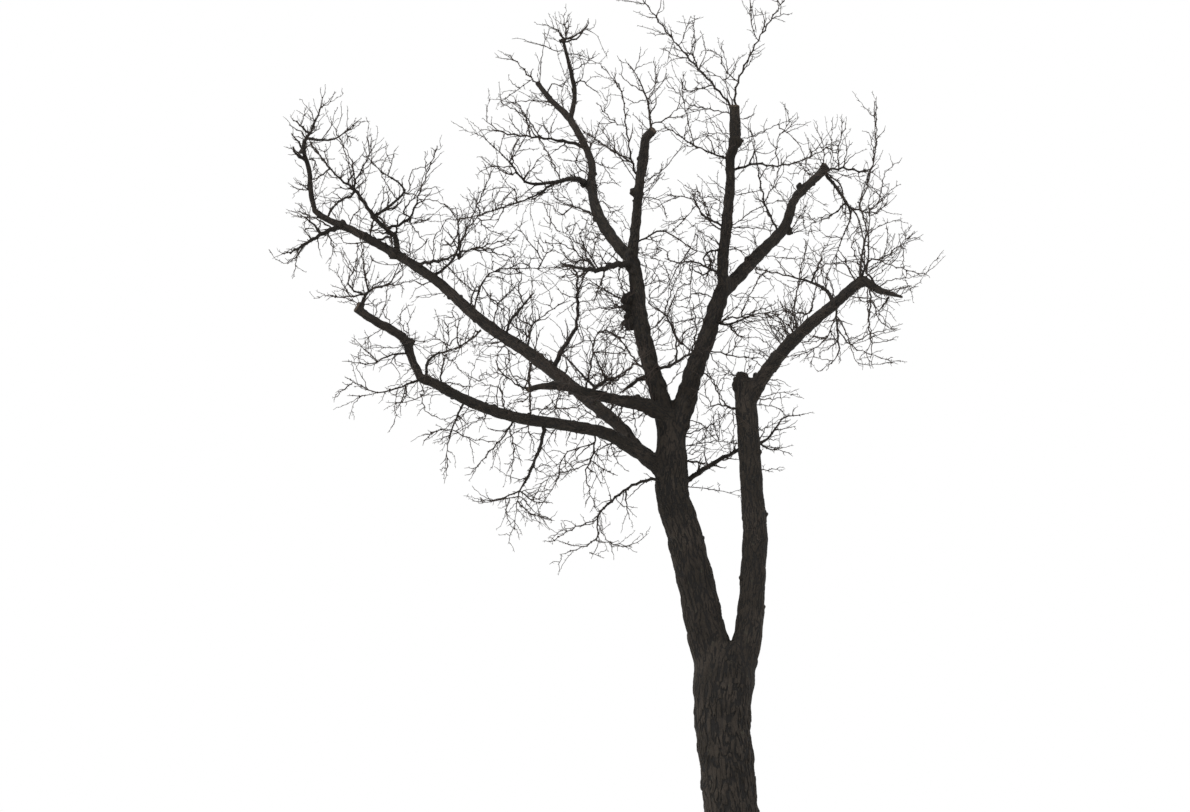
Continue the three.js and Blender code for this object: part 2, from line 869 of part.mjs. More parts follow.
// The stem of a mass and its arms, each arm from its share of the stem.
function framePaths(mass) {
  const tapered = (points, radius) =>
    points.map((point, i) => ({ point, radius: mix(radius, TWIG_END_RADIUS, i / (points.length - 1)) }));
  const stem = tapered(mass.stem.map(seen), mass.foot);
  const arms = mass.arms.map(([share, ...knees]) => {
    const start = placeAt(stem, share);
    return tapered([start.point, ...knees.map(seen)], start.radius * ARM_FOOT);
  });
  return [stem, ...arms];
}

// The side twigs that the rule offers along one path, before any is skipped.
function offeredTwigs(path, mass, random) {
  const lengths = lengthsOf(path);
  const total = lengths[lengths.length - 1];
  const offered = [];
  let turn = 2 * Math.PI * random();
  let along = Math.max(FIRST_TWIG * total, FIRST_TWIG_LEAST);
  while (along < total) {
    const { point, radius, direction } = placeAt(path, along / total);
    turn += TWIG_TURN + TURN_VARIES * (random() - 0.5);
    const spread = mix(...TWIG_SPREAD, random());
    const length = mass.reach * mix(...TWIG_LENGTH, random());
    const side = acrossFrom(direction);
    const other = direction.clone().cross(side);
    const outward = side.multiplyScalar(Math.cos(turn)).addScaledVector(other, Math.sin(turn));
    const heading = direction
      .clone()
      .multiplyScalar(Math.cos(spread))
      .addScaledVector(outward, Math.sin(spread));
    heading.z += mass.lift;
    const end = point.clone().addScaledVector(heading.normalize(), length);
    offered.push([
      { point, radius: radius * TWIG_FOOT + TWIG_FOOT_EXTRA },
      { point: end, radius: TWIG_END_RADIUS },
    ]);
    along += TWIG_SPACING * mix(...SPACING_VARIES, random());
  }
  return offered;
}

// All side twigs, each kept only where it stays in its mass's own space and clear of all the rest.
function growTwigs(frames, limbPieces) {
  const names = Object.keys(frames);
  const framePieces = Object.fromEntries(names.map((name) => [name, frames[name].flatMap(piecesOf)]));
  const grown = Object.fromEntries(names.map((name) => [name, []]));
  const taken = [];
  const clearOf = (piece, others, margin) =>
    others.every((other) => pieceDistance(piece, other) > piece.radius + other.radius + margin);
  names.forEach((name, rank) => {
    const random = seeded(SEED + rank);
    const elsewhere = names.filter((other) => other !== name);
    const strangers = elsewhere.flatMap((other) => framePieces[other]);
    const keepIfClear = (twig, path) => {
      const [piece] = piecesOf(twig);
      const freeFrom = piece.from.clone().lerp(piece.to, TWIG_ROOT_SHARE);
      const free = { ...piece, from: freeFrom };
      const sisters = frames[name].filter((other) => other !== path).flatMap(piecesOf);
      const inSpace = distanceTo(piece.to, framePieces[name]) < distanceTo(piece.to, strangers);
      const clear =
        clearOf(piece, [...limbPieces, ...strangers, ...taken], TWIG_CLEARANCE) &&
        clearOf(free, sisters, 0);
      if (!inSpace || !clear) return;
      grown[name].push(twig);
      taken.push(piece);
    };
    frames[name].forEach((path) => {
      offeredTwigs(path, MASSES[name], random).forEach((twig) => keepIfClear(twig, path));
    });
  });
  return grown;
}

// Limbs: each starts inside the limb that carries it and is cut back clear of it.
const limbPaths = Object.fromEntries(
  Object.entries(LIMBS).map(([name, { knees }]) => [
    name,
    smoothPath(
      knees.map(seen),
      knees.map(([, , , radius]) => radius),
      LIMB_STEPS,
    ),
  ]),
);
const solids = {};
const forkedStems = ["left_stem", "right_stem"];
solids.trunk = forkedStems
  .reduce((sum, name) => sum.add(limbSolid(name)), trunkColumn())
  .subtract(blockBeyond(STEM_CUT_UP, true));
const belowStems = blockBeyond(STEM_CUT_UP + JOINT_GAP, false);
const grownLimbs = {};
for (const name of Object.keys(LIMBS)) {
  let solid = limbSolid(name);
  if (forkedStems.includes(name)) solid = solid.subtract(belowStems);
  for (const earlier of Object.values(grownLimbs)) {
    if (boxesMeet(solid.boundingBox(), earlier.boundingBox())) solid = solid.subtract(earlier);
  }
  solids[name] = mainBody(solid);
  grownLimbs[name] = limbSolid(name, JOINT_GAP);
}

// Masses: one stem with its arms and the side twigs that were kept, cut back clear of the limbs.
const frames = Object.fromEntries(
  Object.entries(MASSES).map(([name, mass]) => [name, framePaths(mass)]),
);
const knobPieces = Object.values(LIMBS).flatMap(({ knobs = [] }) =>
  knobs.map(([across, up, behind, radius]) => {
    const place = seen([across, up, behind]);
    return { from: place, to: place.clone().setZ(place.z + 1), radius };
  }),
);
const limbPieces = [...Object.values(limbPaths).flatMap(piecesOf), ...knobPieces];
const twigs = growTwigs(frames, limbPieces);
for (const [name, paths] of Object.entries(frames)) {
  const bodies = [...paths, ...twigs[name]].map((path) => tube(path, TWIG_SIDES, 0, true));
  let solid = bodies.reduce((sum, body) => sum.add(body));
  for (const limb of Object.values(grownLimbs)) {
    if (boxesMeet(solid.boundingBox(), limb.boundingBox())) solid = solid.subtract(limb);
  }
  solids[name] = mainBody(solid);
}

// Meshes, one to a node, each with its own material
const BARK = { color: 0x3a332c, roughness: 0.95, metalness: 0 };
const TWIG_BARK = { color: 0x453a31, roughness: 0.9, metalness: 0 };

const tree = new THREE.Group();
tree.name = "bare_winter_tree";
for (const [name, solid] of Object.entries(solids)) {
  const made = solid.getMesh();
  const geometry = new THREE.BufferGeometry();
  geometry.setAttribute("position", new THREE.BufferAttribute(made.vertProperties, 3));
  geometry.setIndex(new THREE.BufferAttribute(made.triVerts, 1));
  geometry.computeVertexNormals();
  const material = new THREE.MeshStandardMaterial(name in MASSES ? TWIG_BARK : BARK);
  const mesh = new THREE.Mesh(geometry, material);
  mesh.name = name;
  tree.add(mesh);
}

export default tree;
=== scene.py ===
"""Bare winter tree: furrowed bark on the trunk and boughs, and the twigs that grow on from them.

The scene is in metres, +Z up, -Y towards the viewer. The tables and the growing are in millimetres, in
the same frame, and become metres where a mesh is made. A place is (side, up, behind): side and up as
seen from the eye on the trunk's upright plane, and behind as the distance beyond that plane.
"""
import math

import bpy
import numpy as np
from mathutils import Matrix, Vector


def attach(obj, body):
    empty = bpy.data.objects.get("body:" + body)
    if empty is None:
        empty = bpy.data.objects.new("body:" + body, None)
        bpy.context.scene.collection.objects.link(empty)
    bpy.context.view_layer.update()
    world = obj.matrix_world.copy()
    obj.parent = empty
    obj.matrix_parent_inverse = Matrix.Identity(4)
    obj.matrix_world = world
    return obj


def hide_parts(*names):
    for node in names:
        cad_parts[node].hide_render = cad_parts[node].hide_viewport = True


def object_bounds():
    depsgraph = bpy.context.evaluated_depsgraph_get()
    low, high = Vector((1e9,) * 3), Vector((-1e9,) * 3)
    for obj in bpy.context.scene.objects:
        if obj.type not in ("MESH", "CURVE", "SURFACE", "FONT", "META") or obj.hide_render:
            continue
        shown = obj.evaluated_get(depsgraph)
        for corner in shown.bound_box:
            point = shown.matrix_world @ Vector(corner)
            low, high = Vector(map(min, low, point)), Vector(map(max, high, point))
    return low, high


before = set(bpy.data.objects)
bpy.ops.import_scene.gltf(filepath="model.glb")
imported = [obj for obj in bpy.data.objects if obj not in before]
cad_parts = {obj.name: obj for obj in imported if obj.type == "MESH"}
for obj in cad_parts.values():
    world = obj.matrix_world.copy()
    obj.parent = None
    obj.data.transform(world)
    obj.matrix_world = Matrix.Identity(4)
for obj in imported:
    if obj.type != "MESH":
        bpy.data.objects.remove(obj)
CAD_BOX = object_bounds()

MM = 0.001
CM = 10
STEEP = 0.8
EYE_SIDE, EYE_BEHIND, EYE_UP = -1440, -60000, 1600

# Trunk: height, lean to the side, radius to the side and radius to the back, then the root flare
TRUNK_RINGS = [
    (0, 0, 292, 285), (400, -32, 281, 274), (900, -80, 271, 266), (1620, -152, 274, 262),
    (1960, -172, 286, 256), (2220, -150, 314, 246), (2340, -143, 306, 232), (2450, -130, 240, 205),
    (2540, -110, 165, 165), (2606, -88, 90, 110),
]
FLARE, FLARE_RISE, FLARE_LOBES, FLARE_LOBE_DEPTH, FLARE_TURN = 0.42, 190, 5, 0.45, 0.6


def table_rows(text):
    """Rows of words and then places, such as 12,34,56; a line without words goes on from the one above."""
    rows = []
    for line in text.splitlines():
        cells = [] if line.startswith("#") else line.split()
        words = [cell for cell in cells if "," not in cell]
        places = [[float(value) for value in cell.split(",")] for cell in cells if "," in cell]
        if words:
            rows.append((words, places))
        elif places:
            rows[-1][1].extend(places)
    return rows


# Limbs: knees (side, up, behind, radius), and then the knobs on the limb
LIMB_ROWS = """
left_stem -160,2050,0,190 -310,2620,0,200 -395,3020,0,187 -535,3620,0,177 -660,4050,0,168 -672,4400,0,156
-688,4740,0,138
right_stem -70,2080,0,140 78,2620,0,145 125,3080,0,128 158,3700,-20,124 125,4150,-30,112 95,4650,-30,110
68,5010,-30,108 92,5180,-30,140 98,5270,-30,90
knobs 225,3850,-20,70 190,5205,-30,88 20,5215,-30,82
right_bough 80,4960,-60,78 262,5285,-180,72 562,5640,-500,64 935,5965,-920,54 1225,6195,-1260,50
1400,6125,-1400,36 1640,6050,-1560,12
knobs 1228,6215,-1260,56
right_centre_bough -680,4560,0,125 -552,4960,20,108 -465,5260,80,97 -325,5642,170,87 -185,6060,260,82
-140,6180,290,80
upright_bough -150,6090,270,66 -160,6410,300,56 -122,6775,290,56 -85,7180,240,48 -85,7430,200,45
-38,7640,170,58 -42,7975,130,52
knobs 0,7610,175,52
slanting_bough -140,6110,300,68 140,6420,480,64 440,6730,760,54 545,7000,960,43 640,7130,1100,46
885,7345,1380,38
knobs 505,6705,790,46 610,7160,1090,48 850,7355,1375,48
left_centre_bough -690,4580,0,120 -760,4940,-20,98 -880,5360,-50,84 -985,5780,-40,86 -1025,6200,0,72
-1078,6450,30,72
knobs -1105,6025,-20,76 -1095,5790,-40,74
outer_limb -1060,6410,30,64 -1230,6600,130,60 -1400,6860,340,57 -1475,7160,600,46 -1485,7440,820,37
-1690,7835,1140,36 -1880,8030,1340,28 -2018,8205,1480,25
outer_limb_top -1690,7820,1140,27 -1645,8075,1120,25 -1675,8290,1060,22 -1765,8650,980,16
inner_limb -1075,6400,20,58 -1030,6790,-150,49 -1005,7100,-350,45 -960,7420,-550,52 -930,7640,-680,46
-850,7735,-750,40
knobs -1050,7110,-350,44
long_bough -700,4270,0,84 -1035,4530,60,74 -1260,4790,180,64 -2050,5450,650,59 -2560,5800,940,54
-3080,6255,1200,49 -3720,6645,1470,44 -4110,6828,1570,34 -4262,6925,1595,31
long_bough_tip -4245,6900,1590,28 -4292,7130,1610,27 -4303,7320,1600,26 -4370,7540,1560,20
low_bough -760,4310,-20,80 -1100,4580,-130,70 -1440,4715,-400,60 -2280,4858,-1040,54 -2760,5035,-1350,50
-3020,5175,-1500,48 -3195,5245,-1600,46
low_bough_end -3185,5235,-1595,42 -3280,5455,-1690,40 -3325,5600,-1750,48 -3440,5700,-1820,43
-3640,5812,-1920,42 -3835,5942,-2000,38
knobs -3290,5600,-1750,48 -3778,5972,-1985,40
front_bough -690,4830,-40,50 -945,4970,-200,45 -1240,5030,-430,40 -1740,5165,-830,29 -1980,5155,-980,27
-2110,5122,-1050,22
"""
LIMBS = {}
for (name,), places in table_rows(LIMB_ROWS):
    if name == "knobs":
        limb["knobs"] = places
    else:
        limb = LIMBS[name] = {"knees": places, "knobs": []}

# Masses of twigs: radius at the foot of the stem, reach and lift of the side twigs, and knees of the
# stem (side, up, behind); then a row for each arm, with the share of the stem where it leaves and its knees
MASS_ROWS = """
tip_twigs 17 330 0.3 -4366,7525,1562 -4330,7660,1540 -4230,7840,1480 -4150,8110,1400
0.2 -4060,7640,1430 -3780,7850,1300
0.3 -4400,7780,1640 -4490,7860,1780
edge_twigs 26 300 0.3 -3990,6770,1530 -4190,6680,1380 -4440,6525,1200 -4580,6490,980
0.55 -4430,6460,1350 -4560,6380,1500
0.3 -4280,6800,1340 -4420,6900,1250
fork_twigs 40 330 0.35 -3445,6470,1360 -3440,6650,1320 -3640,6835,1180 -3840,7115,1000 -4060,7300,880
-4300,7620,760
0.2 -3300,6850,1260 -3190,7120,1190 -3020,7570,1150
0.32 -3350,7120,1150 -3590,7320,1050 -3740,7480,1000
0.62 -3860,7360,960 -4050,7740,900
0.58 -3760,7370,1120 -3650,7580,1150
left_mid_twigs 15 260 0.15 -3240,6380,1260 -2960,6425,1010 -2670,6525,850 -2240,6450,640
0.6 -2460,6590,720 -2210,6670,560
left_high_twigs 18 300 0.3 -3050,6260,1200 -2880,6410,1200 -2805,6600,1190 -2830,6950,1170
0.5 -2650,6820,1090 -2450,6925,980 -2190,7015,880
0.45 -2610,7000,1200 -2450,7360,1250
left_inner_twigs 15 280 0.2 -2650,5890,990 -2590,6160,1000 -2430,6320,930 -2040,6340,760 -1790,6350,660
0.25 -2470,6010,1050 -2310,5900,1150
middle_twigs 17 280 0.3 -2110,5500,690 -2075,5760,640 -1980,5845,590 -1710,6040,470
0.35 -2230,5880,740 -2050,6090,820
rising_twigs 17 290 0.3 -1870,5300,545 -1760,5550,520 -1625,5770,470 -1620,6300,380
0.8 -1540,6280,300 -1480,6420,220
inner_twigs 16 300 0.3 -1550,5030,350 -1490,5340,330 -1410,5690,300 -1170,5640,250
0.5 -1300,5560,420 -1130,5800,560
front_twigs 16 300 0.3 -1490,5100,-640 -1340,5210,-680 -1180,5260,-740 -950,5490,-800
0.3 -1420,5420,-760 -1500,5700,-850
0.1 -1620,5330,-700 -1760,5480,-900
front_end_twigs 17 300 0.25 -2100,5124,-1045 -2230,5180,-1180 -2380,5300,-1320 -2440,5420,-1480
0.1 -2090,5300,-1100 -2090,5440,-1120
low_tip_twigs 20 330 0.4 -3785,5955,-1980 -3700,6120,-1930 -3490,6200,-1820 -3390,6420,-1760
0.25 -3750,6320,-1990 -3785,6580,-2050
0.18 -3910,6180,-2100 -3800,6400,-2250
0.2 -3990,6050,-2060 -4110,6080,-2200
low_left_twigs 17 300 0.1 -3295,5490,-1700 -3490,5470,-1850 -3680,5380,-1950 -3960,5410,-2100
0.5 -3760,5540,-1880 -3880,5620,-1800
low_under_twigs 17 300 0.05 -3175,5235,-1590 -3390,5150,-1600 -3640,5100,-1650 -3940,5250,-1760
0.55 -3760,5060,-1600 -3920,5070,-1560
0.2 -3330,5040,-1720 -3460,4960,-1850
low_middle_twigs 17 290 0.25 -3130,5215,-1565 -3090,5440,-1500 -2820,5540,-1380 -2580,5710,-1300
0.5 -2900,5700,-1480 -2960,5860,-1560
hanging_near_twigs 26 330 -0.05 -760,4240,-60 -1060,4170,-260 -1390,3890,-560 -1440,3620,-680
-1790,3470,-850
0.6 -1640,3740,-720 -1890,3600,-960
0.74 -1290,3590,-620 -1070,3550,-520
hanging_middle_twigs 19 320 -0.05 -1960,4800,-800 -1965,4620,-830 -2120,4220,-980 -2200,4080,-1020
-2250,3720,-1080
0.66 -2430,4020,-1120 -2660,4010,-1220
0.66 -2060,4010,-960 -1890,3990,-860
0.75 -2100,3900,-1080 -1860,3820,-1180
hanging_left_twigs 17 300 -0.05 -2240,4850,-1010 -2340,4670,-1060 -2490,4510,-1130 -2690,4280,-1240
0.15 -2250,4520,-1130 -2290,4200,-1260
hanging_end_twigs 17 300 -0.05 -2740,5025,-1340 -2850,4780,-1380 -2910,4570,-1430 -2940,4330,-1480
0.45 -3060,4700,-1500 -3170,4570,-1600
0.45 -2700,4640,-1320 -2440,4600,-1360
hanging_close_twigs 17 300 -0.05 -1440,4710,-400 -1450,4500,-400 -1530,4270,-380 -1420,3900,-300
0.4 -1740,4300,-330 -1980,4230,-280
0.35 -1340,4320,-300 -1210,4260,-220
0.15 -1740,4480,-560 -1830,4200,-640 -2040,3870,-700
right_low_twigs 30 290 0.2 -600,4160,40 -300,4360,190 10,4530,270 270,4620,280 450,4840,330 660,4870,380
0.62 330,4520,420 420,4560,560
centre_twigs 18 300 0.3 -870,5330,-60 -670,5370,-200 -400,5520,-300 -40,5460,-330 240,5440,-420
0.25 -640,5690,-380 -720,5920,-520
0.4 -430,5760,-480 -470,6020,-640
curled_twigs 17 290 0.1 -250,5830,220 -100,5775,160 130,5870,60 490,5925,-60
0.7 330,5720,-120 440,5560,-180
0.8 480,5780,80 560,5700,240
upright_left_twigs 18 300 0.2 -140,6760,290 -350,6870,220 -460,7030,160 -740,7080,60
0.5 -560,6820,60 -680,6700,-60
0.2 -330,6960,600 -420,7140,1000
high_left_twigs 16 300 0.25 -90,7430,200 -390,7550,60 -590,7670,-60 -750,7780,-180
0.5 -500,7780,100 -560,8060,180
upright_right_twigs 20 320 0.25 -80,7320,220 180,7395,160 380,7365,60 690,7450,-80 1020,7640,-240
0.42 380,7600,0 530,7830,-120
0.6 660,7330,-200 740,7260,-420
top_left_twigs 18 320 0.25 -62,7950,132 -240,8170,100 -640,8620,20 -940,9020,-60 -1010,9130,-90
0.35 -470,8560,-60 -440,8740,-160
0.2 -520,8120,-60 -580,8260,-160
top_twigs 18 330 0.25 -25,7950,132 -20,8180,150 190,8620,220 440,9020,320 500,9130,360
0.55 130,8800,160 115,9140,100
0.2 -130,8330,260 -190,8500,380
slant_twigs 18 320 0.25 400,6690,720 265,6990,740 185,7400,690 110,7800,640
0.3 360,7200,800 450,7480,860
slant_end_twigs 19 330 0.3 870,7332,1362 1070,7345,1470 1300,7330,1560 1375,7600,1620 1380,8070,1720
0.4 1250,7120,1620 1200,7000,1720
0.12 1000,7560,1500 1080,7800,1560
slant_low_twigs 20 320 0.05 850,7315,1340 1040,7060,1290 1120,6870,1240 1060,6700,1180 860,6190,1080
0.3 910,6860,1380 730,6790,1500
0.25 1210,6800,1160 1260,6400,1060 1200,6120,1000
0.35 1370,6900,1160 1500,7020,1080
right_high_twigs 18 300 0.2 950,5985,-935 850,6140,-880 560,6250,-800 150,6340,-700
0.35 800,6380,-740 860,6600,-680
right_hanging_twigs 18 300 0 965,5990,-955 990,5670,-1020 985,5450,-1060 780,5300,-1160
0.3 1130,5560,-1100 1540,5400,-1220
0.15 840,5600,-860 520,5420,-760
right_end_twigs 19 330 0.3 1220,6190,-1250 1290,6410,-1300 1460,6455,-1340 1760,6700,-1420
0.4 1650,6330,-1480 1910,6270,-1600
0.15 1180,6430,-1480 1120,6600,-1660
outer_end_twigs 17 300 0.2 -2005,8190,1468 -2110,8285,1600 -2230,8420,1700 -2330,8500,1820
0.2 -2200,8150,1500 -2390,8020,1480
outer_top_twigs 14 280 0.25 -1762,8635,982 -1690,8660,960 -1580,8720,900 -1500,8810,840
0.05 -1830,8750,960 -1900,8765,920
0.1 -1740,8800,1060 -1770,8900,1120
outer_side_twigs 17 300 0.25 -1560,7570,930 -1860,7640,900 -2340,7700,800 -2570,7850,740
0.5 -2140,7880,960 -2260,8060,1060
side_twigs 32 300 0.25 -1470,7160,600 -1620,7238,560 -1900,7202,420 -2130,7205,300 -2290,7400,200
-2570,7670,0
0.3 -2060,7060,250 -2440,6930,60 -2790,6820,-140
0.72 -2190,7560,320 -2100,7760,420
inner_head_twigs 18 320 0.3 -870,7710,-735 -915,8020,-790 -990,8220,-820 -1140,8440,-860
0.5 -840,8180,-900 -800,8330,-1020
0.1 -720,7850,-860 -560,7990,-980
inner_side_twigs 17 320 0.25 -995,7190,-400 -1075,7440,-440 -1130,7780,-460 -1180,8120,-480 -1400,8410,-500
0.2 -1300,7540,-520 -1540,7710,-640
0.45 -1270,7830,-300 -1420,8010,-160
short_side_twigs 29 320 0.15 -1050,6390,10 -1230,6375,-130 -1450,6320,-320 -1790,6390,-520
0.5 -1540,6540,-480 -1600,6700,-640
0.4 -1400,6150,-420 -1460,5980,-560
"""
MASSES = {}
for words, places in table_rows(MASS_ROWS):
    if len(words) == 1:
        mass["arms"].append((float(words[0]), *places))
    else:
        foot, reach, lift = map(float, words[1:])
        mass = {"foot": foot, "reach": reach, "lift": lift, "stem": places, "arms": []}
        MASSES[words[0]] = mass

